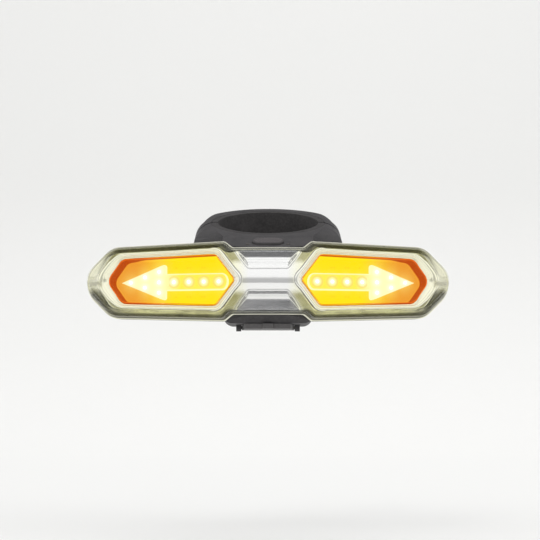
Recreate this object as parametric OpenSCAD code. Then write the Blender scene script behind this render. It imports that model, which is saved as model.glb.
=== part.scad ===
// Bicycle turn signal light for a seat post: a waisted lamp with two swept-back lobes,
// a lit arrow in each lobe, a button on top, a charging port below and a two-part post clamp.
// Millimetres. X points right seen from behind the bicycle, Y forward, Z up.
// The origin lies on the seat post's axis, level with the clamp's screws.

/* [Lamp] */
lamp_w = 108; // [100:1:118] width across the two tips
lobe_h = 23.4; // [22.4:0.2:26] height of a lobe beside the waist
end_h = 21.4; // [20:0.2:22.2] height of a lobe at its outer corners
tip_r = 7.6; // [6:0.2:8] rounding of a lobe's tip
corner_r = 6.2; // [5.4:0.2:6.6] rounding of a lobe's outer corners
waist_w = 21.2; // [20:0.2:23] width of the waist between the steps
waist_h = 19.6; // [18.6:0.2:20.6] height of the waist
crease_w = 12; // [10:0.5:14] width of the flat middle between the two creases
sweep = 10; // [6:1:13] angle that each lobe is swept back
lamp_drop = 10.5; // [9:0.5:12] middle of the lamp below the clamp's screws

/* [Lens and bezel] */
face_h = 8.5; // [7.5:0.1:10] lens face ahead of the seam
rim_h = 2.2; // [1.8:0.1:3] upright rim of the lens
lens_t = 1.3; // [1:0.1:1.6] lens wall
bezel_t = 1.1; // [0.9:0.1:1.3] bezel wall
lens_band = 2.6; // [2.2:0.1:3] lens ridge outside the window
bevel_w = 1.2; // [0.8:0.1:1.3] width of the bevel round a window
bevel_h = 0.8; // [0.5:0.05:0.9] depth of the bevel round a window
bridge_h = 8; // [7:0.2:9] height of the bridge at the waist
pocket_in = 9.2; // [8:0.2:10] width of a waist pocket beside the bridge
pocket_out = 18.4; // [17:0.2:19.4] width of a waist pocket at the rim
pocket_floor = 4; // [3.6:0.1:5] pocket floor ahead of the seam

/* [Window and arrow] */
window_in = 2.9; // [2.4:0.1:3.4] inner tip of the window from the crease
window_nose = 5.2; // [4.6:0.2:6.4] length of the window's pointed inner end
window_h = 14.6; // [13.8:0.2:15] height of the window beside the waist
window_end_h = 12.8; // [12:0.2:13.6] height of the window at its outer corners
window_gap = 8.2; // [7.8:0.1:9] outer end of the window from the tip
tray_depth = 6.9; // [6:0.1:8] depth of the tray behind the window
tray_wall = 0.7; // [0.5:0.1:0.9] tray wall
tray_floor = 1; // [0.8:0.1:1.4] tray floor
tray_lip = 1.2; // [0.8:0.1:1.4] flange round the tray's floor
arrow_gap = 2.2; // [1.8:0.1:2.6] arrow tip from the window's outer end
arrow_len = 32.2; // [31.4:0.1:33] length of the arrow
head_len = 13.6; // [13:0.1:14.5] length of the arrow head
head_h = 10.6; // [10:0.1:11] height of the arrow head
shaft_h = 5; // [4.4:0.1:5.6] height of the arrow's shaft
arrow_t = 1.4; // [1:0.1:2] thickness of the light guide
led_d = 1.6; // [1.4:0.1:1.7] diameter of one lamp
led_row = 4.3; // [4:0.1:4.5] spacing of the rows in the arrow head
led_step = 3.1; // [2.8:0.1:3.3] spacing across the arrow head
led_pitch = 4.5; // [4.2:0.1:4.7] spacing along the shaft

/* [Housing] */
wall = 1.6; // [1.4:0.1:2] wall of the lobes
core_wall = 1.8; // [1.6:0.1:2.2] wall of the core
core_w = 27; // [26:0.5:29] width of the core
core_d = 10.8; // [10.4:0.1:13] depth of the core from the seam to the bracket
base_drop = 12.2; // [11.8:0.1:13.5] underside below the lamp's middle
brow = 0.5; // [0.3:0.1:0.8] front edge of the top above the waist
top_slope = 26; // [22:1:28] rise of the top towards the post
back_inset = 3.2; // [2.6:0.1:3.6] how far the back of a lobe is drawn in
seam_gap = 0.5; // [0.4:0.1:0.8] gap that the gasket fills
board_t = 1; // [0.8:0.1:1.2] thickness of the circuit boards
board_air = 1.2; // [0.8:0.1:1.6] air behind the lamp boards
tip_screw_d = 2; // [1.8:0.1:2.2] screw at each tip
tip_screw_l = 4.6; // [4.2:0.1:4.8] length of a tip screw under its head
tip_head_t = 1.4; // [1.2:0.1:1.8] height of a tip screw's head

/* [Button] */
button_w = 9.3; // [8.6:0.1:10] width of the button
button_rise = 0.6; // [0.5:0.1:1] height of the button over the top
button_front = 1.3; // [1.2:0.1:1.6] top ahead of the button
button_rear = 3.3; // [3.1:0.1:3.8] top behind the button
button_travel = 0.6; // [0.4:0.1:0.7] stroke of the button
flange_t = 0.8; // [0.6:0.1:1] flange inside the top
stem_d = 3; // [2:0.2:3.4] stem of the button
pipe_d = 1; // [0.8:0.1:1.2] indicator light pipe

/* [Charging port] */
socket_w = 8.9; // [8.6:0.1:9.2] width of the charging socket
socket_t = 3.2; // [3:0.1:3.4] thickness of the charging socket
socket_l = 7.3; // [6.6:0.1:7.6] height of the charging socket
port_rim = 0.6; // [0.4:0.1:0.8] port opening outside the socket
cover_t = 1.5; // [1.3:0.1:2] thickness of the port cover
cover_front_w = 13.4; // [12.6:0.2:14.2] width of the cover's front edge
cover_back_w = 15.6; // [14.8:0.2:16] width of the cover at the hinge
cover_tail = 3.6; // [3.2:0.1:4.2] hinge axis behind the port
cover_lead = 1.2; // [0.8:0.1:1.4] cover ahead of the port
stub_d = 0.9; // [0.7:0.1:1] hinge stub of the cover
lug_t = 1.5; // [1.4:0.1:2] thickness of a hinge lug

/* [Clamp] */
post_d = 31.6; // [30.9:0.1:31.8] diameter of the seat post
post_lean = 20; // [17:1:22] lean of the seat post
liner_t = 2.2; // [1.8:0.1:2.6] rubber liner
bracket_t = 2.2; // [2:0.1:3] bracket ahead of the liner
band_high = 11.6; // [10.6:0.2:12.6] top of the clamp above its screws
band_low = 9; // [8:0.5:10.5] bottom of the clamp below its screws
cap_t = 3.6; // [3:0.1:4.4] wall of the cap
clamp_gap = 1.2; // [0.8:0.1:1.6] gap between bracket and cap
lug_d = 6.5; // [6:0.1:8] depth of a clamp lug
lug_round = 7; // [5:0.5:8] rounding of the shoulders
screw_d = 2.5; // [2.3:0.1:2.7] clamp screw
head_d = 4.5; // [4.3:0.1:4.7] head of the clamp screw
head_t = 2.5; // [2.2:0.1:2.8] height of the screw head
socket_d = 2.3; // [2.1:0.1:2.6] hexagon socket across corners
nut_af = 5; // [4.8:0.1:5.2] nut across flats
nut_t = 2; // [1.8:0.1:2.4] nut thickness
bracket_screw_d = 2.6; // [2.2:0.1:3] screw from bracket to housing
bracket_screw_in = 3; // [2.6:0.1:3.3] screw inside the housing's back wall
bracket_screw_out = 2; // [1.8:0.1:2.2] bracket under the screw's head
bracket_head_t = 1.4; // [1.2:0.1:1.6] height of that screw's head

/* [Electronics] */
cell_air = 1.1; // [0.8:0.1:1.4] gap between the socket and the battery
cell_l = 11.2; // [10:0.2:12] height of the battery
main_w = 16; // [14.6:0.2:16.4] width of the main board
main_up = 5.4; // [4:0.2:6] top of the main board over the lamp's middle
chip_w = 5; // [4:0.2:6] driver chip
radio_w = 10; // [8:0.5:11] width of the radio module
radio_h = 5; // [4:0.2:5.4] height of the radio module
radio_t = 1.5; // [1.2:0.1:1.8] thickness of the radio module
switch_h = 2.5; // [2:0.1:2.8] height of the push switch
switch_cap = 0.8; // [0.6:0.1:1] plunger of the push switch

/* [Fits] */
play = 0.3; // [0.25:0.05:0.4] loose gap between fixed pieces
snug = 0.1; // [0.05:0.01:0.12] close gap between fixed pieces
run = 0.05; // [0.03:0.01:0.08] running gap round a pin, screw or stub

/* [Hidden] */
$fn = 48;
arc_step = 11;
far = 90;
crease = crease_w / 2;
tip_u = (lamp_w / 2 - crease - rim_h * sin(sweep)) / cos(sweep);
step_u = (waist_w / 2 - crease) / cos(sweep);
window_end = tip_u - window_gap;
lens_in = lens_t + play;
bezel_in = lens_in + bezel_t;
lens_slope = atan((face_h - rim_h) / (lobe_h / 2 - window_h / 2 - lens_band));
tray_top = face_h - bezel_in;
floor_up = tray_top - tray_depth;
board_up = floor_up - tray_floor - 2 * snug;
cavity_w = board_up - board_t - board_air;
back_w = cavity_w - wall;
arrow_tip = window_end - arrow_gap;
led_lead = 2.9;
tail_leds = floor((arrow_len - led_lead - 2 * led_row - 2) / led_pitch);
leds = concat(
  [for (i = [0:2]) for (j = [0:i]) [arrow_tip - led_lead - led_row * i, (j - i / 2) * led_step]],
  [for (k = [1:tail_leds]) [arrow_tip - led_lead - led_row * 2 - led_pitch * k, 0]]
);
column_r = tip_screw_d * 1.45;
tip_screw_u = window_end + tray_lip + 2 * snug + column_r;
head_w = -2.4;
top_y = seam_gap + 0.5;
top_z = waist_h / 2 + brow;
base_z = -base_drop;
split_q = -(post_d / 2 + liner_t + bracket_t);
lamp_reach = core_d - split_q / cos(post_lean);
top_len = (core_d - top_y - (top_z - lamp_drop) * tan(post_lean))
  / (cos(top_slope) + sin(top_slope) * tan(post_lean));
button_d = top_len - button_front - button_rear;
button_set = button_front + button_d / 2;
main_y = seam_gap + 2;
main_back = main_y + board_t;
port_y = main_back + snug + socket_t / 2;
socket_low = base_z + core_wall + snug;
hinge_y = port_y + socket_t / 2 + port_rim + cover_tail;
hinge_z = base_z - snug - cover_t / 2;
lug_r = cover_t / 2 + 0.3;
flange_grow = 0.7;
stem_low = -core_wall - run - flange_t - 0.6;
switch_top = stem_low - button_travel - run;
post_x = button_w / 2 + flange_grow + stem_d * 0.4;
bore_r = post_d / 2 + liner_t;
cap_r = bore_r + cap_t;
screw_x = bore_r + screw_d / 2 + 1.1;
lug_x = screw_x + nut_af / 2 + snug + 0.45;
cell_w = core_w - 2 * core_wall - 2 * play;
cell_q = (port_y + socket_t / 2 - lamp_reach) * cos(post_lean)
  + (socket_low + socket_l - lamp_drop) * sin(post_lean) + cell_air;
cell_t = split_q - core_wall - play - cell_q;
cell_low = (base_z - lamp_drop + core_wall + play + cell_t * sin(post_lean) - (split_q - core_wall - play)
  * sin(post_lean)) / cos(post_lean);
pin_s = cell_low + cell_l + bracket_screw_d / 2 + 2.2;
pin_x = core_w / 2 - core_wall - bracket_screw_d / 2 - 0.7;
split_top = (top_z + top_len * sin(top_slope) - lamp_drop - split_q * sin(post_lean)) / cos(post_lean);
split_low = (base_z - lamp_drop - split_q * sin(post_lean)) / cos(post_lean);
bracket_head_d = bracket_screw_d * 1.92;

// Outward normal of the line that touches two circles [centre, radius] on their right.
function touch(a, b) =
  let (d = b[0] - a[0], e = d / norm(d), k = (a[1] - b[1]) / norm(d))
  k * e + sqrt(1 - k * k) * [e[1], -e[0]];

function turn(v) = atan2(v[1], v[0]);

// Outline of a belt round circles listed counterclockwise.
function belt(c) = [
  for (i = [0:len(c) - 1])
    let (n = len(c))
    let (before = turn(touch(c[(i + n - 1) % n], c[i])), after = turn(touch(c[i], c[(i + 1) % n])))
    let (span = (after - before + 720) % 360, steps = max(1, ceil(span / arc_step)))
    for (j = [0:steps])
      let (a = before + span * j / steps)
      c[i][0] + c[i][1] * [cos(a), sin(a)]
];

// Circles of a shape that is the same above and below the middle: lower half, tip, upper half.
function both(half, tip) = concat(
  [for (c = half) [[c[0][0], -c[0][1]], c[1]]],
  [tip],
  [for (i = [len(half) - 1:-1:0]) half[i]]
);

rim_points = belt(both([
  [[step_u + 0.8, waist_h / 2 - 0.8], 0.8],
  [[step_u + 2.7, lobe_h / 2 - 1.2], 1.2],
  [[tip_u - 4 - corner_r, end_h / 2 - corner_r], corner_r]
], [[tip_u - tip_r, 0], tip_r]));

window_points = belt(concat([[[window_in + 1.2, 0], 1.2]], both([
  [[window_in + window_nose + 0.8, window_h / 2 - 1.5], 1.5],
  [[window_end - 5.4, window_end_h / 2 - 3], 3]
], [[window_end - 3.2, 0], 3.2])));

// Point of a lobe's plan: u outwards along the lobe, w ahead of the seam.
function lobe_at(u, w) = [crease + u * cos(sweep) + w * sin(sweep), u * sin(sweep) - w * cos(sweep)];

module lamp_frame() translate([0, -lamp_reach, -lamp_drop]) children();

module waist_frame() lamp_frame() rotate([90, 0, 0]) children();

module side_of(side) mirror([side < 0 ? 1 : 0, 0, 0]) children();

module lobe_frame(side)
  lamp_frame() side_of(side) translate([crease, 0, 0]) rotate([0, 0, sweep]) rotate([90, 0, 0]) children();

module top_frame() lamp_frame() translate([0, top_y, top_z]) rotate([top_slope, 0, 0]) children();

module button_frame() top_frame() translate([0, button_set, 0]) children();

module post_frame() rotate([post_lean, 0, 0]) children();

// Children stood along the second axis of the post's frame, starting at q.
module along_q(q) post_frame() translate([0, q, 0]) rotate([-90, 0, 0]) children();

module stadium(w, d) {
  square([w - d, d], center = true);
  for (s = [-1, 1])
    translate([s * (w - d) / 2, 0]) circle(d = d);
}

module slab(low, high) translate([0, 0, low]) linear_extrude(high - low) children();

module rim(i) offset(delta = -i) polygon(rim_points);

module window(grow) offset(delta = grow) polygon(window_points);

// Solid between two levels inside the bow-tie outline, drawn in by i.
module bow(i, low, high) {
  waist_frame() hull() slab(low, high) square([crease_w, waist_h - 2 * i], center = true);
  for (side = [-1, 1])
    lobe_frame(side) {
      hull() slab(low, high) rim(i);
      hull() slab(low, high) translate([-0.1, i - waist_h / 2]) square([step_u + 2.1, waist_h - 2 * i]);
    }
}

module loft(low, mid, high) {
  hull() {
    slab(low, mid) children(0);
    slab(high - 0.05, high) children(1);
  }
}

// One waist pocket: tapered, open to the rim.
module pocket(i) {
  inner = pocket_in / 2;
  outer = pocket_out / 2;
  run_out = 4;
  lean = (outer - inner) / (waist_h / 2 - bridge_h / 2);
  loft(face_h + 2, face_h + 2.1, pocket_floor - i + 0.05) {
    polygon([
      [-inner - 1.6 - 0.7 * i, bridge_h / 2 - 1.6 - 0.7 * i],
      [inner + 1.6 + 0.7 * i, bridge_h / 2 - 1.6 - 0.7 * i],
      [outer + lean * run_out + 1.6 + 0.7 * i, waist_h / 2 + run_out],
      [-outer - lean * run_out - 1.6 - 0.7 * i, waist_h / 2 + run_out]
    ]);
    polygon([
      [-inner - 0.7 * i, bridge_h / 2 + 0.8 - 0.7 * i],
      [inner + 0.7 * i, bridge_h / 2 + 0.8 - 0.7 * i],
      [outer + lean * run_out - 0.6 + 0.7 * i, waist_h / 2 + run_out],
      [-outer - lean * run_out + 0.6 - 0.7 * i, waist_h / 2 + run_out]
    ]);
  }
}

// Solid under the lens face, drawn in by i from the outer surface.
module face(i, low) {
  edge = rim_h - i * (1 / sin(lens_slope) - 1) * tan(lens_slope);
  draw = lens_band - i * (1 / sin(lens_slope) - 1 / tan(lens_slope));
  neck = waist_h - 2 * (lobe_h / 2 - window_h / 2 - draw);
  difference() {
    union() {
      for (side = [-1, 1])
        lobe_frame(side) {
          loft(low, edge, face_h - i) {
            rim(i);
            window(draw);
          }
          loft(low, edge, face_h - i) {
            translate([-0.4, i - waist_h / 2]) square([step_u + 3.4, waist_h - 2 * i]);
            translate([-2.4, -neck / 2]) square([step_u + 5.4, neck]);
          }
        }
      waist_frame() loft(low, edge, face_h - i) {
        square([crease_w, waist_h - 2 * i], center = true);
        square([crease_w + 2, neck], center = true);
      }
    }
    waist_frame()
      for (s = [0, 1])
        mirror([0, s, 0]) pocket(i);
  }
}

module clear_lens() {
  difference() {
    face(0, 0);
    face(lens_t, -1);
  }
}

module chrome_bezel() {
  difference() {
    union() {
      difference() {
        face(lens_in, 0);
        face(bezel_in, -1);
      }
      intersection() {
        face(lens_in + 0.1, -0.7);
        for (side = [-1, 1])
          lobe_frame(side) translate([tip_screw_u, 0, -seam_gap + snug]) cylinder(d = tip_screw_d + 2, h = 6);
      }
    }
    for (side = [-1, 1])
      lobe_frame(side) {
        slab(-2, face_h) window(0);
        loft(face_h, face_h + 0.1, tray_top + bezel_t - bevel_h + 0.05) {
          window(bevel_w * (1 + (lens_in + bevel_h) / bevel_h));
          window(0);
        }
        translate([tip_screw_u, 0, -1]) cylinder(d = tip_screw_d + 2 * run, h = 4);
      }
  }
}

module lens_gasket() {
  difference() {
    bow(0.2, -seam_gap + snug / 2, -snug / 2);
    bow(wall - 0.2, -2, 2);
  }
}

module amber_tray(side) {
  lobe_frame(side) difference() {
    union() {
      slab(floor_up - tray_floor, tray_top) window(-snug);
      slab(floor_up - tray_floor, floor_up) window(tray_lip);
    }
    slab(floor_up, tray_top + 1) window(-snug - tray_wall);
    for (p = leds)
      translate([p[0], p[1], floor_up - 2]) cylinder(d = led_d + 2 * snug, h = 4);
  }
}

module arrow_outline() {
  tail = arrow_tip - arrow_len;
  neck = arrow_tip - head_len;
  offset(r = 0.6) offset(delta = -0.6) polygon([
    [tail, -shaft_h / 2], [neck, -shaft_h / 2], [neck, -head_h / 2], [arrow_tip, 0],
    [neck, head_h / 2], [neck, shaft_h / 2], [tail, shaft_h / 2]
  ]);
}

module arrow_guide(side) {
  lobe_frame(side) difference() {
    slab(floor_up + run, floor_up + arrow_t) arrow_outline();
    for (p = leds)
      translate([p[0], p[1], floor_up - 1]) cylinder(d = led_d + 2 * snug, h = arrow_t + 2);
  }
}

module led_set(side) {
  lobe_frame(side)
    for (p = leds)
      translate([p[0], p[1], board_up]) {
        cylinder(d = led_d, h = floor_up + arrow_t - board_up - led_d / 2);
        translate([0, 0, floor_up + arrow_t - board_up - led_d / 2]) sphere(d = led_d);
      }
}

module led_board(side) {
  lobe_frame(side) slab(board_up - board_t, board_up) window(-snug);
}

module flex(side) {
  a = main_back + snug / 2;
  b = board_up - board_t - snug / 2;
  inner = [
    [main_w / 2 - 2.2, a], [main_w / 2 - 0.8, a],
    lobe_at(window_in - snug, b), lobe_at(window_in + 4, b)
  ];
  outer = [for (i = [3:-1:0]) inner[i] + [0, 0.25]];
  lamp_frame() side_of(side) translate([0, 0, -1]) linear_extrude(2) polygon(concat(inner, outer));
}

module above_top() top_frame() translate([-far, -far, 0]) cube([2 * far, 2 * far, far]);

module behind_split(q) post_frame() translate([-far, q, -far]) cube([2 * far, far, 2 * far]);

// Core of the housing, drawn in by i from its outer surface.
module core(i) {
  low = base_z + i;
  rise = (waist_h / 2 - i - 0.01);
  difference() {
    lamp_frame() intersection() {
      rotate([90, 0, 90]) translate([0, 0, i - core_w / 2]) linear_extrude(core_w - 2 * i) polygon([
        [i > 0 ? -0.2 : seam_gap, -rise], [i > 0 ? -0.2 : seam_gap, rise], [seam_gap + i, top_z + brow],
        [40, 50], [40, low], [seam_gap + 1.6 + i, low]
      ]);
      translate([0, far, 0]) rotate([90, 0, 0]) linear_extrude(2 * far) offset(r = 3 - i * 0.6)
        translate([-core_w / 2 + 3 + i * 0.4, low + 3 - i * 0.6])
          square([core_w - 6 - i * 0.8, far]);
    }
    translate([0, 0, -i / cos(top_slope)]) above_top();
    behind_split(split_q - i);
    if (i == 0)
      for (side = [-1, 1])
        lobe_frame(side) slab(-seam_gap, far) translate([-0.1, -far]) square([far, 2 * far]);
  }
}

module lobe_shell(side, i) {
  lobe_frame(side) loft(-seam_gap - 1 - i * 0.2, i > 0 ? 1 : -seam_gap, back_w + i + 0.05) {
    rim(i);
    rim(back_inset + i * 0.5);
  }
}

module neck_block(side, i) {
  lobe_frame(side) slab(back_w + i, i > 0 ? 1 : -seam_gap)
    translate([-0.2 - i, i - waist_h / 2]) square([step_u + 4 + i, waist_h - 2 * i]);
}

module screw_boss(side, grow)
  along_q(split_q - core_wall - bracket_screw_in - 0.4 - grow) translate([side * pin_x, -pin_s, 0])
    cylinder(d = bracket_screw_d + 3 + 2 * grow, h = bracket_screw_in + core_wall + 1);

module rear_housing() {
  difference() {
    union() {
      for (side = [-1, 1]) {
        lobe_shell(side, 0);
        neck_block(side, 0);
      }
      core(0);
    }
    difference() {
      union() {
        for (side = [-1, 1]) {
          lobe_shell(side, wall);
          neck_block(side, wall);
        }
        core(core_wall);
      }
      for (side = [-1, 1]) {
        lobe_frame(side) translate([tip_screw_u, 0, back_w - 1])
          cylinder(r = column_r, h = -back_w + 1 - seam_gap - snug);
        button_frame() translate([side * post_x, 0.8, switch_top - switch_h])
          cylinder(d = 1.6, h = far);
        screw_boss(side, 0);
        difference() {
          for (z = [main_up - 1.8, -main_up])
            lamp_frame() side_of(side) translate([main_w / 2 - 0.8, main_back + snug, z])
              cube([core_w / 2 - main_w / 2, 3.6, 1.4]);
          lobe_frame(side) slab(board_up - board_t - 2 * snug, far) window(2 * snug);
        }
      }
    }
    for (side = [-1, 1]) {
      lobe_frame(side) translate([tip_screw_u, 0, 0]) {
        translate([0, 0, back_w - 2]) cylinder(d = tip_screw_d + 2 * snug, h = 2 - back_w + 1);
        translate([0, 0, back_w - 2]) cylinder(d = 2 * column_r - 1.6, h = head_w - back_w + 2);
      }
      button_frame() translate([side * (button_w / 2 + 1.3), -1.6, -4]) cylinder(d = pipe_d + 2 * run, h = 6);
      along_q(split_q - core_wall - bracket_screw_in - 1) translate([side * pin_x, -pin_s, 0])
        cylinder(d = bracket_screw_d + 2 * run, h = bracket_screw_in + core_wall + 4);
    }
    button_frame() slab(-core_wall - 2, 3) stadium(button_w + 2 * snug, button_d + 2 * snug);
    lamp_frame() translate([0, port_y, base_z - 1])
      linear_extrude(core_wall + 1.5) stadium(socket_w + 2 * port_rim, socket_t + 2 * port_rim);
  }
  lamp_frame()
    for (side = [-1, 1])
      difference() {
        translate([side * (cover_back_w / 2 + snug * 2 + lug_t / 2), hinge_y, hinge_z]) {
          rotate([0, 90, 0]) cylinder(r = lug_r, h = lug_t, center = true);
          translate([-lug_t / 2, -lug_r, 0]) cube([lug_t, 2 * lug_r, base_z - hinge_z + 0.2]);
        }
        translate([0, hinge_y, hinge_z]) rotate([0, 90, 0])
          cylinder(d = stub_d + 2 * run, h = far, center = true);
      }
}

module main_board() {
  lamp_frame() translate([-main_w / 2, main_y, socket_low + 1])
    cube([main_w, board_t, main_up - socket_low - 1]);
}

module driver_chip() {
  lamp_frame() translate([-chip_w / 2, main_y - 1.5 - snug / 2, 0]) cube([chip_w, 1.5, 4]);
}

module radio_module() {
  lamp_frame() translate([-radio_w / 2, main_y - snug / 2, -radio_h - 1.5]) rotate([90, 0, 0]) {
    cube([radio_w, radio_h, radio_t * 0.4]);
    translate([radio_w * 0.1, radio_h * 0.12, radio_t * 0.4])
      cube([radio_w * 0.8, radio_h * 0.76, radio_t * 0.6]);
  }
}

module usb_socket() {
  lamp_frame() translate([0, port_y, socket_low]) difference() {
    linear_extrude(socket_l) stadium(socket_w, socket_t);
    translate([0, 0, -1]) linear_extrude(socket_l - 0.5) stadium(socket_w - 0.6, socket_t - 0.6);
  }
  lamp_frame() translate([-3.3, port_y - 0.35, socket_low + 1]) cube([6.6, 0.7, socket_l - 1.2]);
}

module battery_cell() {
  along_q(cell_q) translate([0, -cell_low - cell_l / 2, 0])
    linear_extrude(cell_t) offset(r = 1) square([cell_w - 2, cell_l - 2], center = true);
}

module battery_leads() {
  y = lamp_reach + cell_q * cos(post_lean) - (cell_low + cell_l - 1.6) * sin(post_lean);
  z = lamp_drop + cell_q * sin(post_lean) + (cell_low + cell_l - 1.6) * cos(post_lean);
  difference() {
    lamp_frame()
      for (side = [-1, 1])
        translate([side * 2, main_back + snug / 2, z]) rotate([-90, 0, 0])
          cylinder(d = 1, h = y - main_back + 1);
    behind_cell();
  }
}

module behind_cell() post_frame() translate([-far, cell_q - snug / 2, -far]) cube([2 * far, far, 2 * far]);

module switch_board() {
  difference() {
    button_frame() slab(switch_top - switch_h - board_t * 0.8, switch_top - switch_h - snug / 2)
      square([min(2 * post_x + stem_d / 2, main_w - 1.6 - 2 * play), button_d], center = true);
    for (side = [-1, 1])
      screw_boss(side, snug);
    behind_split(split_q - core_wall - play);
  }
}

module tact_switch() {
  button_frame() {
    slab(switch_top - switch_h, switch_top - switch_cap)
      square([button_w * 0.56, button_d * 0.86], center = true);
    slab(switch_top - switch_cap, switch_top) circle(d = stem_d * 0.7);
  }
}

module power_button() {
  button_frame() {
    slab(-core_wall - run - flange_t, button_rise) stadium(button_w, button_d);
    slab(-core_wall - run - flange_t, -core_wall - run)
      stadium(button_w + 2 * flange_grow, button_d + 2 * flange_grow);
    slab(stem_low, -core_wall - run - flange_t) circle(d = stem_d);
  }
}

module indicator_pipes() {
  button_frame()
    for (side = [-1, 1])
      translate([side * (button_w / 2 + 1.3), -1.6, 0]) slab(-core_wall - 0.8, snug) circle(d = pipe_d);
}

module usb_cover() {
  front = port_y - socket_t / 2 - port_rim - cover_lead;
  lamp_frame() {
    translate([0, 0, hinge_z - cover_t / 2]) linear_extrude(cover_t) polygon([
      [-cover_front_w / 2, front], [-1.8, front], [-1.4, front - 0.6], [1.4, front - 0.6], [1.8, front],
      [cover_front_w / 2, front], [cover_back_w / 2, hinge_y], [-cover_back_w / 2, hinge_y]
    ]);
    translate([0, hinge_y, hinge_z]) rotate([0, 90, 0]) {
      cylinder(d = cover_t, h = cover_back_w, center = true);
      cylinder(d = stub_d, h = cover_back_w + 1.4 * lug_t, center = true);
    }
  }
}

module usb_plug() {
  half = socket_t / 2 + port_rim - 2 * snug;
  w = socket_w + 2 * port_rim - socket_t;
  lamp_frame() rotate([90, 0, 90]) translate([0, 0, -w / 2]) linear_extrude(w) polygon([
    [port_y - half, base_z - snug / 2], [port_y + half, base_z - snug / 2],
    [port_y + half, base_z + core_wall - snug], [port_y - half + 0.7, base_z + core_wall - snug]
  ]);
}

// Outline of the lugs, seen along the screws.
module lug_outline() {
  offset(r = lug_round) offset(delta = -lug_round)
    translate([-lug_x, -band_high]) square([2 * lug_x, band_low + band_high]);
}

// Body of the bracket: from the core's back face out to the lugs.
module cowl() {
  hull() {
    along_q(split_q + snug / 2) linear_extrude(0.2) {
      for (side = [-1, 1])
        translate([side * (core_w / 2 - 3), -split_low - 3]) circle(r = 3);
      translate([-core_w / 2, -split_top]) square([core_w, split_top - split_low - 3]);
    }
    along_q(-clamp_gap / 2 - lug_d) linear_extrude(lug_d) lug_outline();
  }
}

module nut_place(side) along_q(-clamp_gap / 2 - lug_d) translate([side * screw_x, 0, 0]) children();

module clamp_bracket() {
  difference() {
    cowl();
    post_frame() cylinder(r = bore_r, h = 4 * far, center = true);
    for (side = [-1, 1]) {
      along_q(-far) translate([side * screw_x, 0, 0]) cylinder(d = screw_d + 2 * play, h = far);
      nut_place(side) translate([0, 0, -far]) rotate(30)
        cylinder(d = (nut_af + 2 * snug) / cos(30), h = far + nut_t + snug, $fn = 6);
      along_q(split_q - 1) translate([side * pin_x, -pin_s, 0]) {
        cylinder(d = bracket_screw_d + 2 * snug, h = 20);
        translate([0, 0, 1 + bracket_screw_out]) cylinder(d = bracket_head_d + 2 * snug, h = 20);
      }
    }
  }
}

module half_ring(inner, front) {
  difference() {
    children();
    post_frame() cylinder(r = inner, h = 4 * far, center = true);
    post_frame() translate([-far, front ? -clamp_gap / 2 : clamp_gap / 2 - far, -far])
      cube([2 * far, far, 2 * far]);
  }
}

module bracket_liner() {
  intersection() {
    cowl();
    half_ring(post_d / 2, true) post_frame() cylinder(r = bore_r - snug / 2, h = 2 * far, center = true);
  }
}

module cap_liner() {
  intersection() {
    along_q(0) linear_extrude(far) lug_outline();
    half_ring(post_d / 2, false) post_frame() cylinder(r = bore_r - snug / 2, h = 2 * far, center = true);
  }
}

module clamp_cap() {
  difference() {
    half_ring(bore_r, false)
      intersection() {
        along_q(0) linear_extrude(far) lug_outline();
        union() {
          post_frame() cylinder(r = cap_r, h = 2 * far, center = true);
          along_q(clamp_gap / 2) linear_extrude(lug_d - 0.5) translate([-far, -far]) square(2 * far);
        }
      }
    for (side = [-1, 1]) {
      along_q(0) translate([side * screw_x, 0, 0]) cylinder(d = screw_d + 2 * run, h = far);
      along_q(clamp_gap / 2 + lug_d - 0.5) translate([side * screw_x, 0, 0])
        cylinder(d = head_d + 2 * play, h = far);
    }
  }
}

module clamp_screw(side) {
  seat = clamp_gap / 2 + lug_d - 0.5 + snug / 2;
  reach = -clamp_gap / 2 - lug_d - 1;
  along_q(reach) translate([side * screw_x, 0, 0]) {
    cylinder(d = screw_d, h = seat - reach);
    translate([0, 0, seat - reach]) difference() {
      cylinder(d = head_d, h = head_t);
      translate([0, 0, head_t - 2]) cylinder(d = socket_d, h = 4, $fn = 6);
    }
  }
}

module clamp_nuts() {
  for (side = [-1, 1])
    nut_place(side) difference() {
      rotate(30) cylinder(d = nut_af / cos(30), h = nut_t, $fn = 6);
      translate([0, 0, -1]) cylinder(d = screw_d + 2 * run, h = nut_t + 2);
    }
}

module bracket_screws() {
  for (side = [-1, 1])
    along_q(split_q) translate([side * pin_x, -pin_s, 0]) {
      translate([0, 0, -core_wall - bracket_screw_in])
        cylinder(d = bracket_screw_d, h = core_wall + bracket_screw_in + bracket_screw_out + snug / 2);
      translate([0, 0, bracket_screw_out + snug / 2]) difference() {
        cylinder(d = bracket_head_d, h = bracket_head_t);
        translate([0, 0, bracket_head_t * 0.45]) cylinder(d = bracket_screw_d * 0.6, h = 2, $fn = 6);
      }
    }
}

module tip_screws() {
  for (side = [-1, 1])
    lobe_frame(side) translate([tip_screw_u, 0, head_w - snug / 2]) {
      cylinder(d = tip_screw_d, h = tip_screw_l);
      translate([0, 0, -tip_head_t]) difference() {
        cylinder(d = 2 * column_r - 2, h = tip_head_t);
        for (a = [0, 90])
          rotate(a) translate([-0.45, -0.1, -0.5] * tip_screw_d)
            cube([0.9 * tip_screw_d, 0.2 * tip_screw_d, 0.5 * tip_screw_d + 0.5 * tip_head_t]);
      }
    }
}

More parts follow.
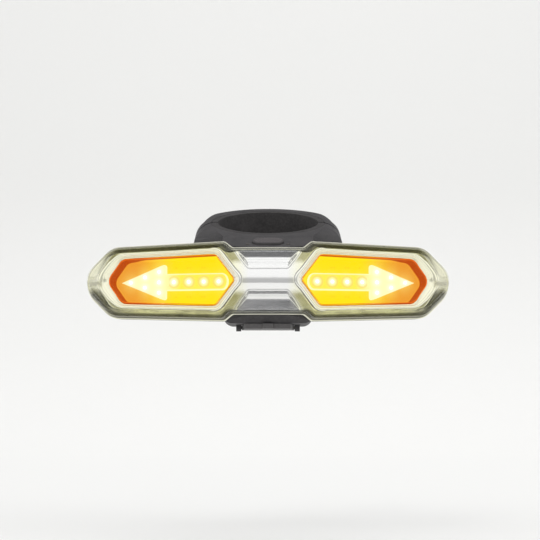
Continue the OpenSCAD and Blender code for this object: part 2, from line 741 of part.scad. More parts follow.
rear_housing();
lens_gasket();
clear_lens();
chrome_bezel();
amber_tray(-1);  // amber_tray_left
amber_tray(1);  // amber_tray_right
arrow_guide(-1);  // arrow_guide_left
arrow_guide(1);  // arrow_guide_right
led_set(-1);  // leds_left
led_set(1);  // leds_right
led_board(-1);  // led_board_left
led_board(1);  // led_board_right
flex(-1);  // flex_left
flex(1);  // flex_right
main_board();
driver_chip();
radio_module();
usb_socket();
battery_cell();
battery_leads();
switch_board();
tact_switch();
power_button();
indicator_pipes();
usb_cover();
usb_plug();
clamp_bracket();
bracket_liner();
clamp_cap();
cap_liner();
clamp_screw(-1);  // clamp_screw_left
clamp_screw(1);  // clamp_screw_right
clamp_nuts();
bracket_screws();
tip_screws();
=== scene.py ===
"""Looks of the bicycle turn signal light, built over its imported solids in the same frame, in metres."""

import logging
from dataclasses import dataclass, field, replace
from enum import Enum
from math import cos, radians, sin
from typing import Any, Sequence

import bmesh
import bpy
import numpy as np
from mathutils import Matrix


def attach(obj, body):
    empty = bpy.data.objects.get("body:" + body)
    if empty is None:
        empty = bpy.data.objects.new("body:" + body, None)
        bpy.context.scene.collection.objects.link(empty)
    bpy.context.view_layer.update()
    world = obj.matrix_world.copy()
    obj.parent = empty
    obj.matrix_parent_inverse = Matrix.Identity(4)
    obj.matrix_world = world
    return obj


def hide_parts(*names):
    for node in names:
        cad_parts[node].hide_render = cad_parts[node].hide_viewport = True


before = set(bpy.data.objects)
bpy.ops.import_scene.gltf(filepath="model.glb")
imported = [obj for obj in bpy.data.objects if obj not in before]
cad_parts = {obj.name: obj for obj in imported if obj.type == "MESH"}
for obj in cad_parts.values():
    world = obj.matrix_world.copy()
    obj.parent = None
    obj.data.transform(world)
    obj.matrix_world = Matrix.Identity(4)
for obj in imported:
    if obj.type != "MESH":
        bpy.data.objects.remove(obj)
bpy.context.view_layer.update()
LOG = logging.getLogger("turn_signal")
MM = 0.001
CHUNK = 20000  # points whose distances are worked out at once
WELD = 2e-6  # metres
Array = np.ndarray
Colour = tuple[float, float, float]
Circle = tuple[float, float, float]
Span = tuple[float, float, float, float]


class Side(Enum):
    """The two lobes, by the sign of X."""

    LEFT = -1
    RIGHT = 1

    @property
    def word(self) -> str:
        """The side's name as it ends the names of nodes."""
        return self.name.lower()


def ease(low: float | Array, high: float | Array, x: float | Array) -> Array:
    """Smooth step: 0 up to low, 1 from high on, and t*t*(3-2t) between them."""
    t = np.clip((np.asarray(x, float) - low) / (high - low), 0.0, 1.0)
    return t * t * (3.0 - 2.0 * t)


def plateau(x: Array, a: float | Array, b: float | Array, c: float | Array, d: float | Array) -> Array:
    """0 up to a, 1 from b to c and 0 from d on, eased between them."""
    return ease(a, b, x) * (1 - ease(c, d, x))


def quarter(x: Array, radius: float) -> Array:
    """Height of a quarter circle, as a share of its radius: 0 at x = 0 and 1 from the radius on."""
    return np.sqrt(1 - (1 - np.clip(x / radius, 0, 1)) ** 2)


def soft_min(a: Array, b: Array, k: float) -> Array:
    """The smaller of two values, rounded over a width k where they meet."""
    h = np.clip(0.5 + 0.5 * (b - a) / k, 0.0, 1.0)
    return b + (a - b) * h - k * h * (1.0 - h)


def soft_max(a: Array, b: Array, k: float) -> Array:
    """The larger of two values, rounded over a width k where they meet."""
    return -soft_min(-a, -b, k)


def spread(along: Array, share: Array, half: Array) -> tuple[Array, Array]:
    """Grid with a column at each place along, whose rows stand at shares of the column's half height."""
    return np.repeat(along[None, :], len(share), axis=0), share[:, None] * half[None, :]


def hem(grid: Array) -> Array:
    """The grid with its first and last rows said twice, for the wall that drops from both."""
    return np.concatenate([grid[:1], grid, grid[-1:]])


def footed(grid: Array, level: float) -> Array:
    """The grid between two rows at one level, which are the foot of that wall."""
    foot = np.full((1, grid.shape[1]), level)
    return np.concatenate([foot, grid, foot])


def belt(circles: Sequence[Circle], step: float, arc: float) -> tuple[Array, Array]:
    """Outline of a belt round circles that are listed counterclockwise.

    Each arc runs between the normals of its two straight runs, and each run is cut into even steps.

    Args:
        circles: Middle and radius (u, z, r) of each circle.
        step: Longest step along a straight run.
        arc: Largest turn along an arc, in degrees.

    Returns:
        The closed outline's points and their outward normals, each of shape (n, 2).
    """
    c = np.array(circles, float)
    d = np.roll(c, -1, axis=0) - c
    length = np.hypot(d[:, 0], d[:, 1])
    e = d[:, :2] / length[:, None]
    k = (c[:, 2] - np.roll(c[:, 2], -1)) / length
    normal = k[:, None] * e + np.sqrt(1 - k * k)[:, None] * np.stack([e[:, 1], -e[:, 0]], axis=1)
    after = np.arctan2(normal[:, 1], normal[:, 0])
    before = np.roll(after, 1)
    span = (after - before) % (2 * np.pi)
    points, normals = [], []
    for i in range(len(c)):
        steps = max(2, int(np.ceil(np.degrees(span[i]) / arc)) + 1)
        turn = before[i] + span[i] * np.linspace(0, 1, steps)
        n = np.stack([np.cos(turn), np.sin(turn)], axis=1)
        points.append(c[i, :2] + c[i, 2] * n)
        normals.append(n)
        start = points[-1][-1]
        end = c[(i + 1) % len(c), :2] + c[(i + 1) % len(c), 2] * n[-1]
        steps = max(2, int(np.ceil(np.linalg.norm(end - start) / step)) + 1)
        t = np.linspace(0, 1, steps)[1:-1, None]
        points.append(start + (end - start) * t)
        normals.append(np.repeat(n[-1:], len(t), axis=0))
    return np.concatenate(points), np.concatenate(normals)


def edge_distance(points: Array, line: Array) -> Array:
    """Shortest distance from each point to an open line of straight runs.

    Args:
        points: Points of shape (..., 2).
        line: The line's points, of shape (m, 2).

    Returns:
        Distances of shape (...), never negative.
    """
    flat = points.reshape(-1, 2)
    a, run = line[:-1], np.diff(line, axis=0)
    square = np.maximum((run * run).sum(1), 1e-12)
    out = np.empty(len(flat))
    for i in range(0, len(flat), CHUNK):
        p = flat[i:i + CHUNK, None, :] - a
        t = np.clip((p * run).sum(2) / square, 0, 1)
        out[i:i + CHUNK] = np.sqrt(((p - t[..., None] * run) ** 2).sum(2).min(1))
    return out.reshape(points.shape[:-1])


class Build:
    """Puts computed grids into meshes and gives the objects their body and finish."""

    FLAT = radians(0.6)
    SHARP = radians(32)
    BEVEL_FROM = radians(28)
    BEVEL_STEPS = 3

    @staticmethod
    def quads(rows: int, columns: int, wrap: bool = False) -> Array:
        """Corner numbers of a grid's quads, row by row.

        Args:
            rows: Rows of points.
            columns: Points in a row.
            wrap: Whether the last column joins the first.

        Returns:
            Corner numbers, of shape (n, 4).
        """
        n = np.arange(rows * columns).reshape(rows, columns)
        right = np.roll(n, -1, axis=1)
        q = np.stack([n[:-1], right[:-1], right[1:], n[1:]], axis=-1)
        return (q if wrap else q[:, :-1]).reshape(-1, 4)

    @staticmethod
    def piece(name: str, points: Array, faces: Array, finish: "Finish", weld: float = WELD,
              marks: dict[str, Array] | None = None) -> bpy.types.Object:
        """Makes one object from points and quads, closed at its seams and poles.

        Args:
            name: Name of the piece.
            points: Points in metres, of any shape that ends in 3.
            faces: Corner numbers, of shape (n, 4).
            finish: Its finish.
            weld: Points nearer than this become one.
            marks: Values per point, kept as attributes for the finish.

        Returns:
            The linked object, at the origin.
        """
        mesh = bpy.data.meshes.new(name)
        mesh.from_pydata(points.reshape(-1, 3), [], faces.tolist())
        for label, values in (marks or {}).items():
            layer = mesh.attributes.new(label, "FLOAT", "POINT")
            layer.data.foreach_set("value", np.ascontiguousarray(values, np.float32).reshape(-1))
        bm = bmesh.new()
        bm.from_mesh(mesh)
        bmesh.ops.remove_doubles(bm, verts=bm.verts, dist=weld)
        bmesh.ops.dissolve_degenerate(bm, edges=bm.edges, dist=weld / 4)
        bmesh.ops.recalc_face_normals(bm, faces=bm.faces)
        bm.to_mesh(mesh)
        bm.free()
        mesh.shade_smooth()
        mesh.materials.append(finish.material())
        obj = bpy.data.objects.new(name, mesh)
        bpy.context.collection.objects.link(obj)
        return obj

    @staticmethod
    def moulded(name: str, node: str, finish: "Finish", radius: float) -> bpy.types.Object:
        """Copy of a solid with its edges rounded as they leave a mould or a lathe.

        Args:
            name: Name of the piece.
            node: The solid that it copies.
            finish: Its finish.
            radius: Edge radius in millimetres.

        Returns:
            The linked object, which stands for the node.
        """
        mesh = bpy.data.meshes.new(name)
        bm = bmesh.new()
        bm.from_mesh(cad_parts[node].data)
        bmesh.ops.remove_doubles(bm, verts=bm.verts, dist=WELD)
        bmesh.ops.dissolve_limit(bm, angle_limit=Build.FLAT, verts=bm.verts, edges=bm.edges)
        bm.to_mesh(mesh)
        bm.free()
        mesh.materials.clear()
        mesh.materials.append(finish.material())
        mesh.shade_smooth()
        mesh.set_sharp_from_angle(angle=Build.SHARP)
        obj = bpy.data.objects.new(name, mesh)
        bpy.context.collection.objects.link(obj)
        bevel = obj.modifiers.new("edges", "BEVEL")
        bevel.width, bevel.segments = radius * MM, Build.BEVEL_STEPS
        bevel.limit_method, bevel.angle_limit = "ANGLE", Build.BEVEL_FROM
        bevel.use_clamp_overlap, bevel.harden_normals = True, True
        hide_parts(node)
        return obj

    @staticmethod
    def place(obj: bpy.types.Object, body: str, slot: str) -> None:
        """Ties a piece to its body, and reports it.

        Args:
            obj: The piece.
            body: Body that it rides on.
            slot: Its material slot; not used.
        """
        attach(obj, body)
        LOG.info("%s: %d faces, rides on %s", obj.name, len(obj.data.polygons), body)


class Wire:
    """A node's output with arithmetic: each operator on values adds one Math node."""

    def __init__(self, nodes: "Nodes", socket: bpy.types.NodeSocket | None) -> None:
        """Keeps the socket and the tree that it belongs to."""
        self.nodes, self.socket = nodes, socket

    def math(self, operation: str, *others: Any) -> "Wire":
        """This value and others through one Math node."""
        return self.nodes.make("ShaderNodeMath", {"operation": operation},
                               dict(enumerate((self, *others))))

    def __add__(self, other: Any) -> "Wire":
        """Sum."""
        return self.math("ADD", other)

    __radd__ = __add__

    def __mul__(self, other: Any) -> "Wire":
        """Product."""
        return self.math("MULTIPLY", other)

    __rmul__ = __mul__

    def __sub__(self, other: Any) -> "Wire":
        """Difference."""
        return self.math("SUBTRACT", other)

    def __rsub__(self, other: Any) -> "Wire":
        """Difference, from a number."""
        return (self * -1.0) + other

    def __truediv__(self, other: Any) -> "Wire":
        """Quotient."""
        return self.math("DIVIDE", other)

    def __pow__(self, other: Any) -> "Wire":
        """Power."""
        return self.math("POWER", other)

    def __abs__(self) -> "Wire":
        """Size without sign."""
        return self.math("ABSOLUTE")

    def between(self, low: float, high: float) -> "Wire":
        """0 below low, 1 above high, and an even rise between them."""
        return self.nodes.make("ShaderNodeMapRange", {"clamp": True},
                               {"Value": self, "From Min": low, "From Max": high,
                                "To Min": 0.0, "To Max": 1.0})


class Nodes:
    """A material's node tree, with one method that makes every node."""

    def __init__(self, tree: bpy.types.NodeTree) -> None:
        """Empties the tree."""
        self.tree = tree
        tree.nodes.clear()

    def make(self, kind: str, settings: dict[str, Any] | None = None,
             inputs: dict[Any, Any] | None = None, output: Any = 0) -> Wire:
        """Adds a node.

        Args:
            kind: Blender's type of node.
            settings: Its settings; stops are a colour ramp's (place, colour) pairs.
            inputs: Values or wires by socket name or number.
            output: Name or number of the wanted output.

        Returns:
            That output, or an empty wire from a node without any.
        """
        node = self.tree.nodes.new(kind)
        for key, value in (settings or {}).items():
            if key == "stops":
                ramp = node.color_ramp
                for i, (place, colour) in enumerate(value):
                    stop = ramp.elements[i] if i < 2 else ramp.elements.new(place)
                    stop.position, stop.color = place, (*colour, 1.0)
            else:
                setattr(node, key, value)
        for key, value in (inputs or {}).items():
            socket = node.inputs[key]
            if isinstance(value, Wire):
                self.tree.links.new(value.socket, socket)
            elif isinstance(value, tuple) and len(value) == 3 and socket.type == "RGBA":
                socket.default_value = (*value, 1.0)
            else:
                socket.default_value = value
        return Wire(self, node.outputs[output] if len(node.outputs) else None)

    def place(self) -> Wire:
        """Object coordinates, in metres."""
        return self.make("ShaderNodeTexCoord", output="Object")

    def axis(self, vector: Wire, name: str) -> Wire:
        """One part, X, Y or Z, of a vector."""
        return self.make("ShaderNodeSeparateXYZ", None, {0: vector}, name)

    def away(self, vector: Wire, low: float, high: float) -> Wire:
        """0 up to low and 1 from high on, in millimetres to either side of the middle."""
        return abs(self.axis(vector, "X")).between(low * MM, high * MM)

    def noise(self, vector: Wire, scale: float, detail: float = 2.0, rough: float = 0.5) -> Wire:
        """Noise of that many features per metre, from 0 to 1."""
        return self.make("ShaderNodeTexNoise", None,
                         {"Vector": vector, "Scale": scale, "Detail": detail, "Roughness": rough}, "Fac")

    def mix(self, colour: Any, *layers: tuple[Wire, Any]) -> Any:
        """Lays colours over one another, each as far as its factor says.

        Args:
            colour: The lowest, as a colour or a wire.
            layers: Factor and colour of each layer, from the lowest up.

        Returns:
            The mixed colour.
        """
        for factor, over in layers:
            colour = self.make("ShaderNodeMix", {"data_type": "RGBA", "clamp_factor": True},
                               {0: factor, 6: colour, 7: over}, 2)
        return colour

    def bump(self, height: Wire, strength: float, distance: float) -> Wire:
        """Normal of a surface with that relief, in metres."""
        return self.make("ShaderNodeBump", None,
                         {"Height": height, "Strength": strength, "Distance": distance})

    def mark(self, name: str) -> Wire:
        """A value that the piece keeps at each point."""
        return self.make("ShaderNodeAttribute", {"attribute_name": name}, None, "Fac")

    def surface(self, **inputs: Any) -> None:
        """One Principled shader, its sockets named with _ for a space, joined to the output."""
        named = {key.replace("_", " "): value for key, value in inputs.items()}
        shader = self.make("ShaderNodeBsdfPrincipled", None, named)
        self.make("ShaderNodeOutputMaterial", None, {"Surface": shader})


@dataclass(frozen=True)
class Finish:
    """A surface finish: a colour, its roughness and how both vary."""

    name: str
    colour: Colour

    def material(self) -> bpy.types.Material:
        """The finish's material, made once."""
        known = bpy.data.materials.get("finish_" + self.name)
        if known is None:
            known = bpy.data.materials.new("finish_" + self.name)
            known.use_nodes = True
            self.dress(Nodes(known.node_tree))
        return known

    def dress(self, n: Nodes) -> None:
        """Fills the material's nodes."""
        raise NotImplementedError


@dataclass(frozen=True)
class Chrome(Finish):
    """Bright plating on plastic, with light painted into its colour: a painted amber glow beside the lit
    windows, a painted highlight at the tips, and painted dark reflections in streaks.

    Painted shade, painted dark streaks and painted reflection on the flanks are values that the piece keeps.
    Spans are millimetres from the middle, and haze, ripple and streaks are features per metre.
    """

    # Painted light in the plating's colour: an amber glow from the lit windows, a highlight at the tips, the
    # dark surround's reflection in streaks and on the flanks, and shade on the pocket floors and in the
    # grooves.
    painted_glow: Colour = (0.90, 0.88, 0.43)
    painted_highlight: Colour = (0.96, 0.95, 0.74)
    painted_shade_tone: Colour = (0.20, 0.20, 0.21)
    painted_reflection_tone: Colour = (0.33, 0.31, 0.12)
    roughness: float = 0.07
    painted_glow_span: tuple[float, float] = (5.5, 14.0)
    # Painted highlight: the span over which the tips are painted paler.
    painted_highlight_span: tuple[float, float] = (38.0, 46.0)
    haze: float = 700.0
    ripple: float = 260.0
    streaks: float = 150.0
    relief: float = 0.00035

    def dress(self, n: Nodes) -> None:
        """Painted amber glow and painted highlight by distance from the middle, then painted dark reflections
        in streaks and on the flanks, then painted shade on the floors and in the grooves; ripple as relief.
        """
        at = n.place()
        haze = n.noise(at, self.haze, 3.0)
        ripple = n.noise(at, self.ripple, 2.0)
        drawn = n.make("ShaderNodeMapping", None, {"Vector": at, "Scale": (1.0, 1.0, 5.0)})
        # Painted reflection: streaks and flanks darken the plating where it would mirror the dark surround.
        streak = n.noise(drawn, self.streaks, 3.0, 0.55).between(0.37, 0.62) * n.mark("streak")
        dark = (streak * 0.75).math("MAXIMUM", n.mark("flank") * (0.55 + ripple * 0.6))
        # Painted amber glow, painted highlight, painted reflection and painted shade, laid in turn over the
        # plating's colour.
        plating = n.mix(self.colour, (n.away(at, *self.painted_glow_span), self.painted_glow),
                        (n.away(at, *self.painted_highlight_span), self.painted_highlight), (dark, self.painted_reflection_tone),
                        (n.mark("shade") * 0.85, self.painted_shade_tone))
        n.surface(Base_Color=plating, Metallic=1.0, Roughness=haze * 0.06 + (self.roughness - 0.03),
                  Normal=n.bump(ripple, 0.10, self.relief))


@dataclass(frozen=True)
class ClearLens(Finish):
    """Clear moulded plastic: nearly unseen face on, pale where it turns away as a painted reflection, with a
    painted amber glow beside the lit windows.

    Its outermost edge has a painted highlight and a painted glow for the light that it carries from the
    lamps, and the seal shows dark through it just inside that edge.
    """

    # Painted light in the lens's colour: an amber glow beside the lit windows, a highlight on the edge and at
    # the tips, and a glow in the edge.
    painted_glow: Colour = (0.25, 0.232, 0.05)
    film: Colour = (0.85, 0.86, 0.80)
    # The rim colour is a painted highlight, laid along the edge and at the tips.
    rim: Colour = (0.95, 0.94, 0.80)
    piped: Colour = (0.16, 0.16, 0.13)
    seal: Colour = (0.035, 0.034, 0.026)
    painted_glow_span: tuple[float, float] = (8.0, 16.0)
    face_cover: float = 0.012
    turned_cover: float = 0.50
    edge_cover: float = 0.7
    seal_cover: float = 0.92

    def dress(self, n: Nodes) -> None:
        """Cover rises with the turn of the surface, as reflection does."""
        at = n.place()
        turn = n.make("ShaderNodeLayerWeight", None, {"Blend": 0.32}, "Facing") ** 2.2
        film = n.noise(at, 420.0, 2.0)
        edge, seal = n.mark("edge"), n.mark("seal")
        cover = turn * (self.turned_cover - self.face_cover) + self.face_cover
        cover = cover.math("MAXIMUM", edge * self.edge_cover).math("MAXIMUM", seal * self.seal_cover)
        # Painted amber glow beside the windows, then painted highlights at the tips and along the edge.
        skin = n.mix(self.colour, (n.away(at, *self.painted_glow_span), self.painted_glow), (film * 0.1, self.film),
                     (n.mark("tip") * 0.8, self.rim), (seal, self.seal), (edge, self.rim))
        # The emission is a painted glow along the edge.
        n.surface(Base_Color=skin, Roughness=film * 0.03 + 0.03, IOR=1.49, Alpha=cover,
                  Emission_Color=n.mix((0.0, 0.0, 0.0), (n.mark("piped"), self.piped)),
                  Emission_Strength=1.0)


@dataclass(frozen=True)
class LitTray(Finish):
    """Amber plate lit from behind: yellow by the arrow, orange at its outer end, red in its walls.

    Small pricks of light stand in a row above and below the shaft, at places along u.
    """

    orange: Colour = (0.84, 0.33, 0.03)
    wall: Colour = (0.40, 0.018, 0.0)
    lip: Colour = (0.80, 0.11, 0.004)
    glow: Colour = (1.0, 0.90, 0.22)
    speck: Colour = (0.8, 0.35, 0.02)
    prick: Colour = (0.80, 0.42, 0.01)
    unlit: Colour = (0.10, 0.045, 0.004)
    unlit_speck: Colour = (0.13, 0.06, 0.006)
    pricks: tuple[float, ...] = (13.0, 13.9, 17.3, 18.2, 21.6)
    pricks_z: float = 4.3

    def dress(self, n: Nodes) -> None:
        """The piece keeps how far out, how high and how near the lamps each point is."""
        grain = n.noise(n.place(), 2600.0, 2.0)
        rise, u = n.mark("rise"), n.mark("u")
        sides = n.mix(self.wall, (rise.between(0.88, 0.97), self.lip))
        across = abs(n.mark("z")) - self.pricks_z
        along = abs(u - self.pricks[0])
        for place in self.pricks[1:]:
            along = along.math("MINIMUM", abs(u - place))
        spot = 1.0 - (along * along + across * across).between(0.012, 0.05)
        lit = n.mix(self.colour, (n.mark("outward"), self.orange), (n.mark("glow") * 0.45, self.glow),
                    ((rise - n.mark("lit_to")).between(0.0, 0.10), sides), (grain * 0.06, self.speck),
                    (spot * 0.7, self.prick))
        n.surface(Base_Color=n.mix(self.unlit, (grain * 0.2, self.unlit_speck)),
                  Roughness=grain * 0.1 + 0.5, Specular_IOR_Level=0.1, Emission_Color=lit,
                  Emission_Strength=0.97)


@dataclass(frozen=True)
class LitArrow(Finish):
    """Light guide: cream over its lamps, pale yellow between them, with a bright outline."""

    pale: Colour = (1.0, 0.93, 0.50)
    hot: Colour = (1.0, 0.98, 0.86)
    ring: Colour = (0.95, 0.50, 0.01)
    unlit: Colour = (0.14, 0.11, 0.04)
    unlit_speck: Colour = (0.18, 0.15, 0.06)

    def dress(self, n: Nodes) -> None:
        """The piece keeps its distance from the edge, from the lamps and from the head."""
        grain = n.noise(n.place(), 3000.0, 2.0)
        lit = n.mix(self.colour, (n.mark("head"), self.pale), (n.mark("edge"), self.pale),
                    (n.mark("ring") * 0.6, self.ring), (n.mark("glow"), self.hot), (grain * 0.06, self.pale))
        n.surface(Base_Color=n.mix(self.unlit, (grain * 0.3, self.unlit_speck)),
                  Roughness=grain * 0.1 + 0.4, Specular_IOR_Level=0.12, Emission_Color=lit,
                  Emission_Strength=1.0)


@dataclass(frozen=True)
class LitDome(Finish):
    """Clear dome of a small lamp, white-hot on top."""

    foot: Colour = (1.0, 0.85, 0.35)
    glass: Colour = (0.6, 0.58, 0.5)

    def dress(self, n: Nodes) -> None:
        """Warmer towards the foot, by the height that the piece keeps."""
        lit = n.mix(self.foot, (n.mark("rise").between(0.1, 0.8), self.colour))
        n.surface(Base_Color=self.glass, Roughness=0.2 + n.noise(n.place(), 4000.0) * 0.05,
                  Emission_Color=lit, Emission_Strength=1.5)


@dataclass(frozen=True)
class Moulded(Finish):
    """Moulded plastic or rubber: spark-eroded grain, dull bloom, and raised dots that are rubbed pale."""

    roughness: float = 0.58
    grain: float = 5200.0
    mottle: float = 190.0
    fleck: float = 1500.0
    relief: float = 0.00004
    bloom: Colour = (0.110, 0.102, 0.103)
    shine: float = 0.3
    rubbed: Colour | None = None

    def dress(self, n: Nodes) -> None:
        """Grain as relief; two sizes of mottle in colour and roughness."""
        at = n.place()
        grain = n.noise(at, self.grain, 3.0, 0.6)
        mottle = n.noise(at, self.mottle, 4.0, 0.6).between(0.35, 0.75)
        fleck = n.noise(at, self.fleck, 2.0)
        layers = [(mottle * 0.2 + fleck * 0.45, self.bloom)]
        if self.rubbed is not None:
            layers.append((n.mark("dots") * (0.5 + fleck * 0.5), self.rubbed))
        n.surface(Base_Color=n.mix(self.colour, *layers),
                  Roughness=mottle * 0.06 + fleck * 0.08 + (self.roughness - 0.07),
                  Specular_IOR_Level=self.shine, Normal=n.bump(grain, 0.55, self.relief))


KEY_RUBBER = Moulded("button_rubber", (0.030, 0.028, 0.029), roughness=0.66, grain=3600.0)


@dataclass(frozen=True)
class Metal(Finish):
    """Turned, pressed or plated metal: fine tool lines along one axis and clouded tarnish."""

    roughness: float = 0.28
    stretch: tuple[float, float, float] = (1.0, 1.0, 9.0)
    dull: Colour = (0.34, 0.33, 0.32)
    lines: float = 1800.0
    cloud: float = 300.0
    relief: float = 0.00002

    def dress(self, n: Nodes) -> None:
        """Lines from noise that is squeezed along one axis."""
        at = n.place()
        drawn = n.make("ShaderNodeMapping", None, {"Vector": at, "Scale": self.stretch})
        lines = n.noise(drawn, self.lines, 3.0, 0.7)
        cloud = n.noise(at, self.cloud, 3.0).between(0.3, 0.8)
        n.surface(Base_Color=n.mix(self.colour, (cloud * 0.5, self.dull)), Metallic=1.0,
                  Roughness=lines * 0.16 + cloud * 0.08 + (self.roughness - 0.12),
                  Normal=n.bump(lines, 0.2, self.relief))


@dataclass(frozen=True)
class Board(Finish):
    """Circuit board: solder mask with paler traces and gold pads in rows."""

    trace: Colour = (0.03, 0.16, 0.07)
    pad: Colour = (0.75, 0.52, 0.18)
    traces: float = 620.0
    pads: float = 420.0
    relief: float = 0.00003

    def dress(self, n: Nodes) -> None:
        """Traces along the edges of a cell pattern, and pads on a nearly square pitch."""
        at = n.place()
        cells = n.make("ShaderNodeTexVoronoi", {"feature": "DISTANCE_TO_EDGE"},
                       {"Vector": at, "Scale": self.traces}, "Distance")
        dots = n.make("ShaderNodeTexVoronoi", None,
                      {"Vector": at, "Scale": self.pads, "Randomness": 0.15}, "Distance")
        lines = 1.0 - cells.between(0.03, 0.07)
        pads = 1.0 - dots.between(0.16, 0.19)
        n.surface(Base_Color=n.mix(self.colour, (lines, self.trace), (pads, self.pad)),
                  Metallic=pads * 0.9, Roughness=0.42 - pads * 0.12, Normal=n.bump(lines, 0.3, self.relief))


@dataclass
class BowTie:
    """Plan of the lamp's face, in millimetres.

    The plan has a along the seam from the middle, z up and w ahead of the seam. The seam is straight in the
    middle, bends over a short run at each crease, and is straight again along each swept-back lobe.
    """

    reach: float = 32.2964
    drop: float = 10.5
    crease: float = 6.0
    soften: float = 2.5
    sweep: float = radians(10)
    tip: float = 48.35
    waist: float = 9.8
    lobe: float = 11.7
    step_from: float = 9.7
    step_to: float = 13.0
    lobe_from: float = 7.3
    tip_r: float = 7.6
    tip_round: float = 11.35
    corner_in: float = 10.2
    corner_z: float = 4.5
    corner_r: float = 6.2
    root: Circle = (7.37, 10.5, 1.2)
    window_in: float = 2.9
    window_end: float = 40.15
    nose_r: float = 1.2
    shoulder: Circle = (6.0, 5.8, 1.5)
    far_corner: Circle = (5.4, 3.4, 3.0)
    end_r: float = 3.2
    plate: float = 6.75
    bow: float = 0.044
    bridge: float = 3.3
    pocket_in: float = 5.2
    pocket_out: float = 9.6
    pocket_steep: float = 0.75
    pocket_side: float = 3.8
    pocket_floor: float = 3.2
    rim: Array = field(init=False)
    lobe_line: Array = field(init=False)
    window: Array = field(init=False)
    window_normal: Array = field(init=False)

    def __post_init__(self) -> None:
        """Works out the outer outline above the middle and the window's outline, as a and z.

        Both are belts round circles. The shoulder is measured from the window's nose, and the far corner
        from its end.
        """
        lobe = [(self.tip - self.tip_r, 0.0, self.tip_r),
                (self.tip - self.corner_in, self.corner_z, self.corner_r), self.root]
        points, _ = belt(lobe + [(u, -z, r) for u, z, r in lobe[:0:-1]], 2.0, 3.0)
        self.lobe_line = self.upper_half(points[points[:, 0] > self.lobe_from])
        self.lobe_line[-1, 1] = 0.0
        end = self.crease + self.tip
        a = np.concatenate([np.linspace(0, 9, 4), np.linspace(9.2, 14, 40), np.linspace(15, 43, 12),
                            end - self.tip_round * np.cos(np.linspace(0, np.pi / 2, 60))])
        a = np.unique(np.clip(a, 0, end))
        self.rim = np.stack([a, self.half_height(a)], axis=1)
        near, far = self.shoulder, self.far_corner
        upper = [(self.window_end - far[0], *far[1:]), (self.window_in + near[0], *near[1:])]
        lower = [(u, -z, r) for u, z, r in upper[::-1]]
        circles = [(self.window_in + self.nose_r, 0.0, self.nose_r), *lower,
                   (self.window_end - self.end_r, 0.0, self.end_r), *upper]
        points, self.window_normal = belt(circles, 0.35, 5.0)
        self.window = points + np.array([self.crease, 0.0])

    @staticmethod
    def upper_half(outline: Array) -> Array:
        """The outline's points above the middle, in order along it."""
        upper = outline[outline[:, 1] >= -1e-9]
        return upper[np.argsort(upper[:, 0])]

    def half_height(self, a: Array) -> Array:
        """Half the height of the face: the waist, an easy S at the step, then the lobe to its round tip."""
        lobe = np.interp(np.abs(a) - self.crease, self.lobe_line[:, 0], self.lobe_line[:, 1], left=self.lobe)
        return self.waist + (lobe - self.waist) * ease(self.step_from, self.step_to, np.abs(a))

    def at(self, a: Array, z: Array, w: Array) -> Array:
        """Points of the frame, in metres, for points of the plan.

        Along the bend the seam's heading grows evenly, so the seam is a circular arc there, and w is measured
        square to it.

        Args:
            a: Along the seam from the middle.
            z: Up from the lamp's middle.
            w: Ahead of the seam.

        Returns:
            Points of shape (..., 3).
        """
        a, z, w = np.broadcast_arrays(*(np.asarray(part, float) for part in (a, z, w)))
        start, end = self.crease - self.soften, self.crease + self.soften
        k = self.sweep / (end - start)
        away = np.abs(a)
        turn = k * np.clip(away - start, 0, end - start)
        past = np.maximum(away - end, 0)
        x = np.minimum(away, start) + np.sin(turn) / k + past * cos(self.sweep)
        y = (1 - np.cos(turn)) / k + past * sin(self.sweep)
        return MM * np.stack([np.sign(a) * (x + w * np.sin(turn)), y - self.reach - w * np.cos(turn),
                              z - self.drop], axis=-1)

    def inside(self, a: Array, z: Array) -> Array:
        """Distance in from the outer outline."""
        return edge_distance(np.stack([np.abs(a), np.abs(z)], axis=-1), self.rim)

    def outside_window(self, a: Array, z: Array) -> Array:
        """Distance out from the nearer window's outline.

        Args:
            a: Along the seam from the middle.
            z: Up from the lamp's middle.

        Returns:
            Distances, negative inside the window.
        """
        closed = np.concatenate([self.window, self.window[:1]])
        d = edge_distance(np.stack([np.abs(a), z], axis=-1), closed)
        upper = self.upper_half(self.window)
        within = np.abs(z) < np.interp(np.abs(a), upper[:, 0], upper[:, 1], left=-1.0, right=-1.0)
        return np.where(within, -d, d)

    def plate_level(self, a: Array, z: Array, top: float) -> Array:
        """Level of the bridge and its four arms: bowed over the waist, flat along the lobes."""
        return top - self.bow * z * z * (1 - ease(8.0, 14.5, np.abs(a)))

    def pocket(self, a: Array, z: Array, side: float) -> Array:
        """Distance into the pocket above or below the bridge: the lesser of those past its edge and its ends.

        Args:
            a: Along the seam from the middle.
            z: Up from the lamp's middle.
            side: Steepness of the ends beside that of the edge.

        Returns:
            Distances, negative outside the pocket.
        """
        along = np.array([self.pocket_out - self.pocket_in, self.waist - self.bridge])
        along = along / np.linalg.norm(along)
        across = (self.pocket_in - np.abs(a)) * along[1] + (np.abs(z) - self.bridge) * along[0]
        return soft_min(np.abs(z) - self.bridge, side * across, 0.5)

    def columns(self, fine: float) -> Array:
        """Places of a grid's columns: even at the waist, wide along the lobes, close at the round tips.

        Args:
            fine: Step at the waist.

        Returns:
            Places from tip to tip.
        """
        end = self.crease + self.tip
        turn = np.linspace(0, np.pi / 2, int(14 / fine))
        right = np.concatenate([np.arange(0, 16, fine), np.arange(16, end - 12, 4 * fine),
                                end - 12 * np.cos(turn)])
        return np.concatenate([-right[:0:-1], right])


